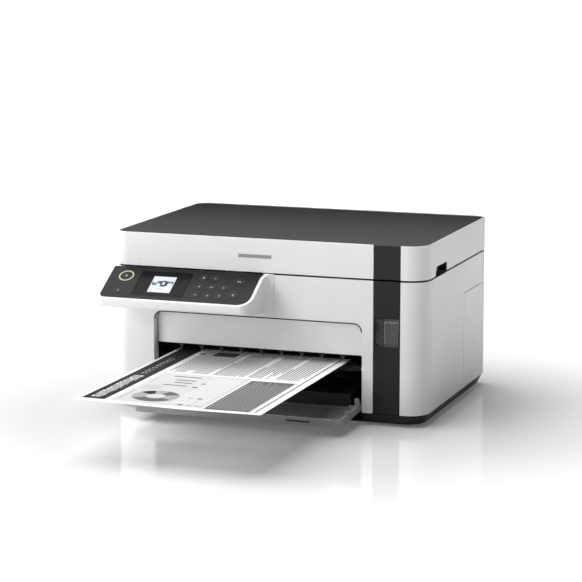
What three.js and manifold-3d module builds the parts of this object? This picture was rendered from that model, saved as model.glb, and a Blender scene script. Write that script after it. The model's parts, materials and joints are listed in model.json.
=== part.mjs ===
// All-in-one ink-tank printer: flatbed scanner unit over a printer base, with a tilted console,
// a flip-down output tray and one printed A4 sheet on its way out.
// Millimetres. X runs right, Y back and Z up, from the left side, the front face and the floor;
// the root group then moves the origin to the middle of the footprint, on the floor.
import * as THREE from 'three';
import { mergeVertices } from 'three/addons/utils/BufferGeometryUtils.js';
import Module from 'manifold-3d';

const wasm = await Module();
wasm.setup();

// ---------- driving dimensions ----------
const bodyWidth = 375;
const bodyDepth = 267;
const bodyHeight = 206;
const wall = 2.5; // moulded covers
const seam = 0.5; // joint lines between covers
const fit = 0.35; // between pieces that rest on or beside each other
const slack = 1.2; // around pieces that swing or slide
const corner = { frontLeft: 17, frontRight: 24, backRight: 14, backLeft: 20 };

const footHeight = 2.2;
const footRadius = 9;
const footInset = 34;
const coverBottom = 14.1; // lower edge of the white covers
const upperHeight = 38.7; // the scanner unit
const upperGap = 2; // dark line between base and scanner unit
const baseTaper = 5; // how far the base draws in towards the floor

const columnWidth = 28.85; // white column at the right front corner
const stripWidth = 31.05; // black strip down the front
const stripRecess = 1;
const stripThick = 1.8;
const windowBottom = 91.5;
const windowHeight = 31;

const leftPost = 49.4; // front cover left of the opening
const rightPost = 13.3; // and between opening and strip
const openingTop = 116.1;
const openingRadius = 10;
const openingDepth = 13; // depth of the opening's side walls
const flapBottom = 77.5;
const flapRecess = 10;

const rightSeamY = 27; // corner column to right side cover
const serviceSeamY = 164.5;
const serviceTop = 127.7;

const trayHingeY = 3;
const trayHingeZ = 18.5;
const trayLength = 71;
const trayTilt = 3.6; // degrees below level when open
const trayRim = 8.3;
const traySkin = 2.4;

const consoleTilt = 30; // degrees of the panel from level
const consoleWidth = 187;
const panelLength = 60; // down the slope
const consoleOver = 1.2; // console top above the front cover's edge
const consoleLip = 10.8;
const consoleHeight = 45;
const consoleRim = 2.5;
const consoleBlend = 10; // hollow corner between console and front cover
const consoleEdge = 0.4; // thickness where that corner runs out
const consoleCorners = { left: 10, right: 16, leftUnder: 16 };
const panelCorners = { left: 7, right: 14, top: 2 };
const panelFlare = 4.5;
const panelThick = 1.6;
const keyRadius = 5;
const wideKeyRadius = 6.5; // start and stop
const smallKeyRadius = 4;
const powerRadius = 7;
const keyProud = 0.25; // above the panel
const keyLength = 3.2;

const sheetWidth = 210;
const sheetLength = 297;
const sheetOut = 262; // how much of the sheet sticks out in front
const sheetDroop = 0.1; // degrees
const sheetZ = 67; // underside of the sheet at the front face
const sheetOffset = -2.1; // sheet middle from the opening's middle
const sheetThick = 0.3;
const sheetFront = -sheetOut * Math.cos(THREE.MathUtils.degToRad(sheetDroop));

const rollerRadius = 6;
const gearModule = 1;
const gearTeeth = 36;
const pinionTeeth = 10;
const meshGap = 0.3; // added to each pair's centre distance
const gearRoom = 3.75; // exit gear to front cover

const lidThick = 6.5;
const lidRim = 1.8; // white edge left round the lid
const lidSink = 0.6; // lid top below that edge
const glassThick = 3;
const glassWidth = 313; // A4 laid along the width
const glassDepth = 224;

// ---------- values that follow ----------
const upperBottom = bodyHeight - upperHeight;
const lowerTop = upperBottom - upperGap;
const stripRight = bodyWidth - columnWidth;
const stripLeft = stripRight - stripWidth;
const openingLeft = leftPost;
const openingRight = stripLeft - rightPost;
const sheetLeft = (openingLeft + openingRight - sheetWidth) / 2 + sheetOffset;
const gearTip = gearModule * (gearTeeth / 2 + 0.75);
const exitRollerY = wall + gearRoom + gearTip;
const feedSpacing = gearModule * (gearTeeth + pinionTeeth) + 2 * meshGap;
const rad = THREE.MathUtils.degToRad;
const far = 2000; // past every side
const roundSteps = 10; // facets in a quarter turn of a visible corner
const keySides = 24; // facets of keys and motors

// ---------- shapes ----------
const alongX = new THREE.Matrix4().makeBasis(
  new THREE.Vector3(0, 1, 0), new THREE.Vector3(0, 0, 1), new THREE.Vector3(1, 0, 0));
const alongY = new THREE.Matrix4().makeBasis(
  new THREE.Vector3(1, 0, 0), new THREE.Vector3(0, 0, 1), new THREE.Vector3(0, -1, 0));

function solid(geometry) {
  const plain = new THREE.BufferGeometry();
  plain.setAttribute('position', geometry.attributes.position);
  plain.setIndex(geometry.index);
  const merged = mergeVertices(plain, 1e-4);
  return new wasm.Manifold(new wasm.Mesh({
    numProp: 3,
    vertProperties: new Float32Array(merged.attributes.position.array),
    triVerts: new Uint32Array(merged.index.array),
  }));
}

function join(...pieces) {
  return pieces.reduce((whole, piece) => whole.add(piece));
}

function cut(whole, ...tools) {
  return tools.reduce((rest, tool) => rest.subtract(tool), whole);
}

// block between two limits on each axis
function block([x0, x1], [y0, y1], [z0, z1]) {
  const geometry = new THREE.BoxGeometry(x1 - x0, y1 - y0, z1 - z0);
  return solid(geometry.translate((x0 + x1) / 2, (y0 + y1) / 2, (z0 + z1) / 2));
}

function polygon(points) {
  return new THREE.Shape(points.map(([a, b]) => new THREE.Vector2(a, b)));
}

// rounded rectangle, radii in the order low-left, low-right, high-right, high-left
function roundedRect([x0, x1], [y0, y1], radii) {
  const [a, b, c, d] = radii;
  const shape = new THREE.Shape();
  shape.moveTo(x0 + a, y0);
  shape.lineTo(x1 - b, y0);
  if (b > 0) shape.absarc(x1 - b, y0 + b, b, -Math.PI / 2, 0, false);
  shape.lineTo(x1, y1 - c);
  if (c > 0) shape.absarc(x1 - c, y1 - c, c, 0, Math.PI / 2, false);
  shape.lineTo(x0 + d, y1);
  if (d > 0) shape.absarc(x0 + d, y1 - d, d, Math.PI / 2, Math.PI, false);
  shape.lineTo(x0, y0 + a);
  if (a > 0) shape.absarc(x0 + a, y0 + a, a, Math.PI, 1.5 * Math.PI, false);
  return shape;
}

function extrude(shape, [z0, z1], curveSegments = 3) {
  const geometry = new THREE.ExtrudeGeometry(shape, { depth: z1 - z0, bevelEnabled: false, curveSegments });
  return geometry.translate(0, 0, z0);
}

// outline in X and Y, raised along Z
const riseZ = (shape, z, segments) => solid(extrude(shape, z, segments));
// outline in Y and Z, drawn along X
const drawX = (shape, x, segments) => solid(extrude(shape, x, segments).applyMatrix4(alongX));
// outline in X and Z, drawn along Y
const drawY = (shape, [y0, y1], segments) =>
  solid(extrude(shape, [-y1, -y0], segments).applyMatrix4(alongY));

function rodX([x0, x1], y, z, radius, sides = 16) {
  const geometry = new THREE.CylinderGeometry(radius, radius, x1 - x0, sides);
  return solid(geometry.rotateZ(-Math.PI / 2).translate((x0 + x1) / 2, y, z));
}

function rodY(x, [y0, y1], z, radius, sides = 16) {
  const geometry = new THREE.CylinderGeometry(radius, radius, y1 - y0, sides);
  return solid(geometry.translate(x, (y0 + y1) / 2, z));
}

function rodZ(x, y, [z0, z1], radius, sides = 16) {
  const geometry = new THREE.CylinderGeometry(radius, radius, z1 - z0, sides);
  return solid(geometry.rotateX(Math.PI / 2).translate(x, y, (z0 + z1) / 2));
}

// spur gear outline about its own centre; phase 0 puts a tooth on the first axis
function gearShape(teeth, phase) {
  const pitchRadius = gearModule * teeth / 2;
  const tip = pitchRadius + 0.75 * gearModule;
  const root = pitchRadius - gearModule;
  const pitchAngle = 2 * Math.PI / teeth;
  const points = [];
  for (let tooth = 0; tooth < teeth; tooth++) {
    const middle = (tooth + phase) * pitchAngle;
    const flank = [[-0.24, root], [-0.11, tip], [0.11, tip], [0.24, root]];
    for (const [share, radius] of flank) {
      const angle = middle + share * pitchAngle;
      points.push([radius * Math.cos(angle), radius * Math.sin(angle)]);
    }
  }
  return polygon(points);
}

function gearX(teeth, phase, x, y, z) {
  return drawX(gearShape(teeth, phase), x).translate([0, y, z]);
}

// the printer's outline in plan, drawn in by inset on every side
function planShape(inset) {
  const radii = [corner.frontLeft, corner.frontRight, corner.backRight, corner.backLeft];
  return roundedRect([inset, bodyWidth - inset], [inset, bodyDepth - inset],
    radii.map((radius) => Math.max(radius - inset, 0.5)));
}

// ---------- the model's groups ----------
const printer = new THREE.Group();
const panelGroup = new THREE.Group(); // X along the panel, Y up its slope, Z out of it
const trayGroup = new THREE.Group(); // about the tray's hinge, front edge towards -Y
const sheetGroup = new THREE.Group(); // about the sheet's underside at the front face
printer.add(panelGroup, trayGroup, sheetGroup);

function material(hex, roughness, metalness = 0, opacity = 1) {
  return new THREE.MeshStandardMaterial({
    color: hex, roughness, metalness, opacity, transparent: opacity < 1,
  });
}

const finish = {
  white: () => material(0xe9eaec, 0.45),
  flapGrey: () => material(0xcfd1d4, 0.5),
  black: () => material(0x17181a, 0.5),
  gloss: () => material(0x202226, 0.2),
  lid: () => material(0x2c2d30, 0.55),
  steel: () => material(0xa9adb2, 0.35, 1),
  rubber: () => material(0x222222, 0.85),
  acetal: () => material(0xe4e2d8, 0.5),
  green: () => material(0x2f6b3c, 0.6),
  clear: () => material(0xb9c0c6, 0.1, 0, 0.35),
  paper: () => material(0xf7f7f5, 0.9),
  screen: () => material(0xaec4dc, 0.15),
};

function add(name, whole, look, group = printer) {
  const { vertProperties, triVerts } = whole.getMesh();
  const geometry = new THREE.BufferGeometry();
  geometry.setAttribute('position', new THREE.BufferAttribute(new Float32Array(vertProperties), 3));
  geometry.setIndex(new THREE.BufferAttribute(new Uint32Array(triVerts), 1));
  geometry.computeVertexNormals();
  const mesh = new THREE.Mesh(geometry, look());
  mesh.name = name;
  group.add(mesh);
}

// ---------- base ----------
const panBottom = footHeight + fit;
const panTop = coverBottom - fit;
const baseInset = 1; // base behind the covers' faces
const baseFlange = 2; // ledge inside the base's rim
const wellFloor = 3; // base left under the tray

function addBase() {
  const height = panTop - panBottom;
  const outer = new THREE.Vector3();
  const geometry = extrude(planShape(baseInset), [panBottom, panTop]);
  const position = geometry.attributes.position;
  for (let index = 0; index < position.count; index++) {
    outer.fromBufferAttribute(position, index);
    const draw = baseTaper * (panTop - outer.z) / height;
    const scaleX = 1 - 2 * draw / bodyWidth;
    const scaleY = 1 - 2 * draw / bodyDepth;
    position.setXYZ(index, bodyWidth / 2 + (outer.x - bodyWidth / 2) * scaleX,
      bodyDepth / 2 + (outer.y - bodyDepth / 2) * scaleY, outer.z);
  }
  const wellY = [-far, openingDepth + slack];
  const trayWell = block([openingLeft, openingRight], wellY, [panBottom + wellFloor, panTop + 1]);
  const inside = riseZ(planShape(wall + baseTaper + baseFlange), [panBottom + wall, panTop + 1]);
  add('base_pan', cut(solid(geometry), inside, trayWell), finish.black);

  for (const [side, x] of [['left', footInset], ['right', bodyWidth - footInset]]) {
    for (const [end, y] of [['front', footInset], ['rear', bodyDepth - footInset]]) {
      add(`foot_${end}_${side}`, rodZ(x, y, [0, footHeight], footRadius, 20), finish.rubber);
    }
  }
}

// ---------- covers of the base ----------
const sideDepth = 30; // how far round a corner a cover reaches
const frontCoverY = corner.frontLeft + 5; // where the front cover ends round its corner
const rearCoverY = bodyDepth - corner.backLeft - 2;

function lowerShell() {
  const [z0, z1] = [coverBottom, lowerTop];
  const inside = riseZ(planShape(wall), [z0 - 1, z1 + 1], roundSteps);
  return cut(riseZ(planShape(0), [z0, z1], roundSteps), inside);
}

function region(x, y, z = [-far, far]) {
  return block(x, y, z);
}

function openingShape(grow) {
  const radius = openingRadius + grow;
  return roundedRect([openingLeft - grow, openingRight + grow], [coverBottom - 5, openingTop + grow],
    [0, 0, radius, radius]);
}

function addCovers() {
  const shell = lowerShell();
  const frontRegion = region([-far, stripLeft - seam / 2], [-far, frontCoverY]);
  const jambs = cut(drawY(openingShape(wall), [wall / 2, openingDepth], roundSteps),
    drawY(openingShape(0), [-1, far], roundSteps))
    .intersect(region([-far, far], [-far, far], [coverBottom, far]));
  const front = join(shell.intersect(frontRegion), jambs);
  add('front_cover', cut(front, drawY(openingShape(0), [-1, openingDepth + 1], roundSteps)), finish.white);

  const leftY = [frontCoverY + seam, rearCoverY];
  add('left_side_cover', shell.intersect(region([-far, sideDepth], leftY)), finish.white);

  const rear = shell.intersect(region([-far, far], [rearCoverY + seam, far]));
  const inletHole = block(inletX, [bodyDepth - wall - 1, bodyDepth + 1], [inletZ[0] - fit, inletZ[1] + fit]);
  add('rear_cover', cut(rear, inletHole), finish.white);

  const columnRegion = region([stripRight + seam / 2, far], [-far, rightSeamY - seam / 2]);
  add('corner_column', shell.intersect(columnRegion), finish.white);

  const right = shell.intersect(region([bodyWidth - sideDepth, far], [rightSeamY + seam / 2, rearCoverY]));
  const service = region([-far, far], [serviceSeamY, far], [-far, serviceTop]);
  const serviceWithSeam = region([-far, far], [serviceSeamY - seam, far], [-far, serviceTop + seam]);
  add('right_side_cover', cut(right, serviceWithSeam), finish.white);
  add('service_cover', right.intersect(service), finish.white);
}

// ---------- black strip and ink window ----------
const windowRib = { thick: 1.5, recess: 0.2, over: 2 }; // strip left beside the window

function addStrip() {
  const x = [stripLeft + seam / 2, stripRight - seam / 2];
  const y = [stripRecess, stripRecess + stripThick];
  const windowTop = windowBottom + windowHeight;
  const backing = block(x, y, [coverBottom, lowerTop]);
  const opening = block([-far, far], [-1, far], [windowBottom - seam, windowTop + seam]);
  const ribY = [y[0] + windowRib.recess, y[1]];
  const ribZ = [windowBottom - windowRib.over, windowTop + windowRib.over];
  const leftRib = block([x[0], x[0] + windowRib.thick], ribY, ribZ);
  const rightRib = block([x[1] - windowRib.thick, x[1]], ribY, ribZ);
  add('front_strip', join(cut(backing, opening), leftRib, rightRib), finish.black);
  const paneX = [x[0] + windowRib.thick + fit, x[1] - windowRib.thick - fit];
  const pane = block(paneX, y, [windowBottom, windowTop]);
  add('ink_window', pane, finish.clear);
}

// ---------- frame and paper path ----------
const frameThick = 3;
const frameGap = 1; // between the opening's walls and the frame
const frameLeftX = [openingLeft - wall - frameGap - frameThick, openingLeft - wall - frameGap];
const frameRightX = [openingRight + wall + frameGap, openingRight + wall + frameGap + frameThick];
const frameY = [16, bodyDepth - 31];
const frameTop = lowerTop - 7;
const frameBottom = panBottom + wall + fit;
const feedRollerY = exitRollerY + feedSpacing;
const rollerZ = sheetZ - rollerRadius - slack;
const shaftRadius = 3;
const railZ = [112, 126];
const railY = [104, 118];
const railWall = 2; // sheet metal of the channel, with its flanges
const railOver = 2; // rail past the frame on each side

function addFrame() {
  const shaftHoles = [exitRollerY, feedRollerY].map((y) =>
    rodX([-1, bodyWidth], y, rollerZ, shaftRadius + fit));
  const slotY = [railY[0] - fit, railY[1] + fit];
  const railSlot = block([-1, bodyWidth], slotY, [railZ[0] - fit, railZ[1] + fit]);
  for (const [side, x] of [['left', frameLeftX], ['right', frameRightX]]) {
    const plate = block(x, frameY, [frameBottom, frameTop]);
    add(`frame_${side}`, cut(plate, ...shaftHoles, railSlot), finish.black);
  }
  const railX = [frameLeftX[0] - railOver, frameRightX[1] + railOver];
  const hollow = block([railX[0] - 1, railX[1] + 1], [railY[0] + railWall, railY[1] + 1],
    [railZ[0] + railWall, railZ[1] - railWall]);
  const channel = cut(block(railX, railY, railZ), hollow);
  add('carriage_rail', channel, finish.steel);
}

const flapX = [openingLeft + slack, openingRight - slack];
const flapFoot = { inset: 1, depth: 5, height: 2 }; // ledge behind its lower edge

function addFlap() {
  const outline = roundedRect(flapX, [flapBottom, openingTop - slack],
    [1, 1, openingRadius - slack, openingRadius - slack]);
  const face = drawY(outline, [flapRecess, flapRecess + wall], roundSteps);
  const footY = [flapRecess + 1, flapRecess + 1 + flapFoot.depth];
  const foot = block([flapX[0] + flapFoot.inset, flapX[1] - flapFoot.inset], footY,
    [flapBottom, flapBottom + flapFoot.height]);
  add('front_flap', join(face, foot), finish.flapGrey);
}

const sheetMiddleX = sheetLeft + sheetWidth / 2;
const cassetteSide = 7; // cassette past the sheet on each side
const cassetteX = [sheetLeft - cassetteSide, sheetLeft + sheetWidth + cassetteSide];
const cassetteBottom = frameBottom + 4;
const cassetteFloor = 26;
const cassetteLipTop = 31.5;
const cassetteY = [12, bodyDepth - 53];
const cassetteFront = 52; // solid front part of the cassette
const guideGap = 0.6; // paper edge to guide
const guide = { thick: 3, y: [84, 164], top: 44 };
const rack = { y: { left: [119, 123], right: [125, 129] }, depth: 2.6, reach: 6 };
const trackY = [118, 130]; // groove that the racks run in
const trackDepth = 3;

function addCassette() {
  const tub = block(cassetteX, cassetteY, [cassetteBottom, cassetteLipTop]);
  const insideX = [cassetteX[0] + wall, cassetteX[1] - wall];
  const well = block(insideX, [cassetteY[0] + cassetteFront, cassetteY[1] - wall],
    [cassetteFloor, cassetteLipTop + 1]);
  const track = block(insideX, trackY, [cassetteFloor - trackDepth, cassetteFloor + 1]);
  const underside = block(insideX, [cassetteY[0] + wall, cassetteY[1] - wall],
    [cassetteBottom - 1, cassetteFloor - trackDepth - wall]);
  add('paper_cassette', cut(tub, well, track, underside), finish.black);

  for (const [side, sign] of [['left', -1], ['right', 1]]) {
    const inner = sheetMiddleX + sign * (sheetWidth / 2 + guideGap);
    const outer = inner + sign * guide.thick;
    const upright = block([Math.min(inner, outer), Math.max(inner, outer)], guide.y,
      [cassetteFloor + fit, guide.top]);
    const rackX = [inner + sign, sheetMiddleX + sign * rack.reach].sort((a, b) => a - b);
    const bar = block(rackX, rack.y[side], [cassetteFloor - rack.depth, cassetteFloor + 1]);
    add(`edge_guide_${side}`, join(upright, bar), finish.black);
  }
}

const shaftX = [frameLeftX[0] - 16, frameRightX[1] + 4];
const gearXs = [frameLeftX[0] - 12, frameLeftX[0] - 7];
const bands = { count: 5, width: 20, inset: 12 }; // rubber bands on each roller
const motorGap = 2;
const motor = { length: 14, radius: 13 };

function addFeed() {
  const bandStep = (sheetWidth - 2 * bands.inset - bands.width) / (bands.count - 1);
  const halfTooth = 0.5;
  for (const [name, y] of [['feed', feedRollerY], ['exit', exitRollerY]]) {
    let roller = rodX(shaftX, y, rollerZ, shaftRadius);
    for (let band = 0; band < bands.count; band++) {
      const x = sheetLeft + bands.inset + band * bandStep;
      roller = join(roller, rodX([x, x + bands.width], y, rollerZ, rollerRadius));
    }
    add(`${name}_roller`, roller, finish.rubber);
    const bore = rodX([gearXs[0] - 1, gearXs[1] + 1], y, rollerZ, shaftRadius + fit / 2);
    add(`${name}_gear`, cut(gearX(gearTeeth, halfTooth, gearXs, y, rollerZ), bore), finish.acetal);
  }
  const pinionY = (feedRollerY + exitRollerY) / 2;
  const hub = rodX([gearXs[0], frameLeftX[0] - motorGap], pinionY, rollerZ, shaftRadius);
  add('motor_pinion', join(gearX(pinionTeeth, 0, gearXs, pinionY, rollerZ), hub), finish.acetal);
  const motorX = [gearXs[0] - motorGap - motor.length, gearXs[0] - motorGap];
  add('feed_motor', rodX(motorX, pinionY, rollerZ, motor.radius, keySides), finish.steel);
}

const platenBed = { side: 8, gap: 2, below: 6, above: 4 }; // round the sheet and the rollers
const platenRib = { count: 9, inset: 10, width: 2, top: 6 };

function addPlaten() {
  const reach = rollerRadius + platenBed.gap;
  const y = [exitRollerY + reach, feedRollerY - reach];
  const x = [sheetLeft - platenBed.side, sheetLeft + sheetWidth + platenBed.side];
  const ribStep = (x[1] - x[0] - 2 * platenRib.inset - platenRib.width) / (platenRib.count - 1);
  let platen = block(x, y, [rollerZ - platenBed.below, rollerZ + platenBed.above]);
  for (let index = 0; index < platenRib.count; index++) {
    const ribX = x[0] + platenRib.inset + index * ribStep;
    const ribZ = [rollerZ + platenBed.above - 1, rollerZ + platenRib.top];
    platen = join(platen, block([ribX, ribX + platenRib.width], [y[0] + 1, y[1] - 1], ribZ));
  }
  add('platen', platen, finish.black);
}

// ---------- carriage and its drive ----------
const carriageHome = openingRight - 62; // left side of the parked carriage
const carriageSize = { x: 56, y: 50, z: 52 };
const carriageBottom = sheetZ + 8;
const beltY = [railY[0] - 9, railY[0] - 3];
const pulleyRadius = 5;
const beltZ = railZ[1] + 14;
const pulleyX = [frameLeftX[1] + 14, frameRightX[0] - 14];
const pulleyFlat = [4.6, 2]; // corners of the eight-sided pulley
const beltThick = 1;
const beltMotor = { gap: 3, length: 30, radius: 12 };
const carriageFloor = 16; // under the ink dampers
const headSeat = { side: 13, end: 8, depth: 10, below: 4 }; // pocket for the print head
const hookSide = 8; // hook and tail in from the carriage's sides

function addCarriage() {
  const x = [carriageHome, carriageHome + carriageSize.x];
  const y = [beltY[0] - 2 - carriageSize.y, beltY[0] - 2];
  const z = [carriageBottom, carriageBottom + carriageSize.z];
  const shellBody = cut(block(x, y, z),
    block([x[0] + wall, x[1] - wall], [y[0] + wall, y[1] - wall], [z[0] + carriageFloor, z[1] + 1]));
  const hookX = [x[0] + hookSide, x[1] - hookSide];
  const hookTop = railZ[1] + 3;
  const hook = block(hookX, [y[1] - 1, railY[0] + 1.5], [railZ[1] + fit, hookTop]);
  const tail = block(hookX, [railY[0] - 2, railY[0] - fit], [railZ[0] + 2, hookTop]);
  const seatX = [x[0] + headSeat.side, x[1] - headSeat.side];
  const seatY = [y[0] + headSeat.end, y[1] - headSeat.end];
  const underHead = block(seatX, seatY, [z[0] - 1, z[0] + headSeat.depth]);
  add('carriage', cut(join(shellBody, hook, tail), underHead), finish.black);
  const head = block([seatX[0] + fit, seatX[1] - fit], [seatY[0] + fit, seatY[1] - fit],
    [z[0] - headSeat.below, z[0] + headSeat.depth - fit]);
  add('print_head', head, finish.gloss);
}

function addCarriageDrive() {
  const reach = pulleyRadius + fit;
  const loop = (grow) => {
    const r = reach + grow;
    const round = r - 0.01; // a full half circle would leave doubled points
    const loopX = [pulleyX[0] - r, pulleyX[1] + r];
    return roundedRect(loopX, [beltZ - r, beltZ + r], [round, round, round, round]);
  };
  const inside = drawY(loop(0), [beltY[0] - 1, beltY[1] + 1]);
  add('carriage_belt', cut(drawY(loop(beltThick), beltY), inside), finish.rubber);
  const [a, b] = pulleyFlat;
  const outline = polygon([[-a, -b], [-a, b], [-b, a], [b, a], [a, b], [a, -b], [b, -a], [-b, -a]]);
  for (const [name, x] of [['drive_pulley', pulleyX[1]], ['idler_pulley', pulleyX[0]]]) {
    add(name, drawY(outline, [beltY[0], beltY[1] + 2]).translate([x, 0, beltZ]), finish.acetal);
  }
  const motorY = [railY[0] + beltMotor.gap, railY[0] + beltMotor.gap + beltMotor.length];
  add('carriage_motor', rodY(pulleyX[1], motorY, beltZ, beltMotor.radius, keySides), finish.steel);
}

// ---------- ink and waste ----------
const tank = { x: [stripLeft + 4, bodyWidth - 12], y: [7, 92], z: [58, 130] };
const neck = { x: tank.x[0] + 22, y: 40, radius: 8, bore: 4.5, height: 8 };
const capHinge = { y: neck.y + neck.radius + 3, z: tank.z[1] + neck.height + 2.2, radius: 1.8 };
const capThick = 4;
const boxWidth = 54; // maintenance box
const boxGap = 6;
const boxZ = [22, 74];

function addInk() {
  const body = riseZ(roundedRect(tank.x, tank.y, [2, 14, 4, 4]), tank.z);
  const neckTop = tank.z[1] + neck.height;
  const collar = rodZ(neck.x, neck.y, [tank.z[1] - 1, neckTop], neck.radius, 20);
  const filler = rodZ(neck.x, neck.y, [tank.z[1] - 14, neckTop + 1], neck.bore, 16);
  add('ink_tank', cut(join(body, collar), filler), finish.clear);
  const capX = [neck.x - neck.radius - 3, neck.x + neck.radius + 3];
  const plate = block(capX, [neck.y - neck.radius - 1, capHinge.y - 1], [neckTop + fit, neckTop + capThick]);
  const barrel = rodX(capX, capHinge.y, capHinge.z, capHinge.radius, 12);
  add('ink_tank_cap', join(plate, barrel), finish.black);
  const boxRight = bodyWidth - wall - boxGap;
  const boxY = [serviceSeamY + boxGap + 2, rearCoverY - boxGap];
  add('maintenance_box', block([boxRight - boxWidth, boxRight], boxY, boxZ), finish.black);
}

// ---------- electronics ----------
const inletX = [40, 66];
const inletZ = [34, 54];
const inletDepth = 18;
const inletMouth = { halfWidth: 8.5, halfHeight: 4.5, round: 4, depth: 13 };
const inletPin = { offset: 4.3, radius: 1.2, recess: 3 };
const board = { x: [70, 250], z: [36, 130], gap: 23.4, thick: 1.6 };

function addElectronics() {
  const boardBack = bodyDepth - board.gap;
  add('main_board', block(board.x, [boardBack - board.thick, boardBack], board.z), finish.green);
  const y = [bodyDepth - inletDepth, bodyDepth];
  const socket = block([inletX[0] + fit, inletX[1] - fit], y, inletZ);
  const middle = (inletX[0] + inletX[1]) / 2;
  const middleZ = (inletZ[0] + inletZ[1]) / 2;
  const { halfWidth, halfHeight, round, depth } = inletMouth;
  const mouth = roundedRect([middle - halfWidth, middle + halfWidth],
    [middleZ - halfHeight, middleZ + halfHeight], [round, round, round, round]);
  const cavity = drawY(mouth, [y[1] - depth, y[1] + 1]);
  const pinY = [y[1] - depth - 1, y[1] - inletPin.recess];
  const pins = [-1, 1].map((side) =>
    rodY(middle + side * inletPin.offset, pinY, middleZ, inletPin.radius, 10));
  add('ac_inlet', join(cut(socket, cavity), ...pins), finish.black);
}

// ---------- output tray, in its own hinged group ----------
const trayX = [openingLeft + slack + 0.4, openingRight - slack - 0.4];
const traySide = 4;
const trayCorner = 10;
const trayBarrel = { length: 14, radius: 2.6 };

function addTray() {
  trayGroup.position.set(0, trayHingeY, trayHingeZ);
  trayGroup.rotation.x = rad(trayTilt);
  const outline = (inset) => roundedRect([trayX[0] + inset, trayX[1] - inset],
    [-trayLength + inset, 0], [trayCorner - inset, trayCorner - inset, 0, 0]);
  const outer = riseZ(outline(0), [-trayHingeY + 0.2, trayRim - trayHingeY], roundSteps);
  const pan = cut(riseZ(outline(traySide), [-trayHingeY + traySkin, trayRim], roundSteps),
    block([-far, far], [-6, 1], [-far, -trayHingeY + traySkin + 1]));
  const horn = drawX(polygon([[-16, 2], [-1, 2], [-1, 5], [-7, 13.5], [-10, 13.5], [-11, 5]]),
    [trayX[1] - traySide, trayX[1]]);
  const bump = block([trayX[1] - traySide, trayX[1]], [-46, -40], [3, 8]);
  const barrels = [trayX[0], trayX[1] - trayBarrel.length].map((x) =>
    rodX([x, x + trayBarrel.length], 0, 0, trayBarrel.radius, 12));
  add('output_tray', join(cut(outer, pan), horn, bump, ...barrels), finish.flapGrey, trayGroup);
}

// ---------- printed sheet ----------
function addSheet() {
  sheetGroup.position.set(0, 0, sheetZ);
  sheetGroup.rotation.x = rad(sheetDroop);
  const sheetX = [sheetLeft, sheetLeft + sheetWidth];
  const sheet = block(sheetX, [-sheetOut, sheetLength - sheetOut], [0, sheetThick]);
  add('printed_sheet', sheet, finish.paper, sheetGroup);
}

// ---------- console: shell in the printer's frame, the rest on its slope ----------
const slope = { y: -Math.cos(rad(consoleTilt)), z: -Math.sin(rad(consoleTilt)) };
const consoleTop = { y: -fit, z: lowerTop + consoleOver };
const lipTop = { y: consoleTop.y + panelLength * slope.y, z: consoleTop.z + panelLength * slope.z };
const consoleBottom = consoleTop.z - consoleHeight;
const bezel = 0.35;

const keys = { // middle along the panel and down its slope, then radius
  menu_button: [22, 45, smallKeyRadius],
  home_button: [117, 14.3, keyRadius],
  up_button: [131.4, 14.3, keyRadius],
  left_button: [116.6, 29.6, keyRadius],
  ok_button: [131.4, 29.6, keyRadius],
  right_button: [146.2, 29.6, keyRadius],
  back_button: [116.6, 44.6, keyRadius],
  down_button: [131.4, 44.6, keyRadius],
  help_button: [145.6, 44.6, keyRadius],
  stop_button: [161.2, 40.7, wideKeyRadius],
  start_button: [161.2, 17.4, wideKeyRadius],
  power_button: [22.8, 18.2, powerRadius],
};
const displayPlace = { x: [40, 102.5], s: [8, 51] };
const panelTopGap = 1; // panel's upper edge from the top of the slope

function panelOutline(inset) {
  const left = consoleRim - fit + inset;
  const right = consoleWidth - consoleRim - 1 - inset;
  const bottom = -panelLength + consoleRim + inset;
  const top = -panelTopGap - inset;
  const { left: leftRound, right: rightRound, top: topRound } = panelCorners;
  const shape = new THREE.Shape();
  shape.moveTo(left + leftRound, bottom);
  shape.lineTo(right - rightRound, bottom);
  shape.absarc(right - rightRound, bottom + rightRound, rightRound, -Math.PI / 2, 0, false);
  shape.lineTo(right, top - consoleBlend);
  shape.quadraticCurveTo(right, top - panelFlare / 2, right + panelFlare - 3 * inset, top);
  shape.lineTo(left + topRound, top);
  shape.absarc(left + topRound, top - topRound, topRound, Math.PI / 2, Math.PI, false);
  shape.lineTo(left, bottom + leftRound);
  shape.absarc(left + leftRound, bottom + leftRound, leftRound, Math.PI, 1.5 * Math.PI, false);
  return shape;
}

// console seen from above: round front corners, and a hollow one where its right side meets the cover
function consolePlan() {
  const { left, right } = consoleCorners;
  const front = lipTop.y - 0.1;
  const blendY = consoleTop.y - consoleEdge - consoleBlend;
  const shape = new THREE.Shape();
  shape.moveTo(fit + left, front);
  shape.lineTo(consoleWidth - right, front);
  shape.absarc(consoleWidth - right, front + right, right, -Math.PI / 2, 0, false);
  shape.lineTo(consoleWidth, blendY);
  shape.absarc(consoleWidth + consoleBlend, blendY, consoleBlend, Math.PI, Math.PI / 2, true);
  shape.lineTo(consoleWidth + consoleBlend, 1);
  shape.lineTo(fit, 1);
  shape.lineTo(fit, front + left);
  shape.absarc(fit + left, front + left, left, Math.PI, 1.5 * Math.PI, false);
  return shape;
}

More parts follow.
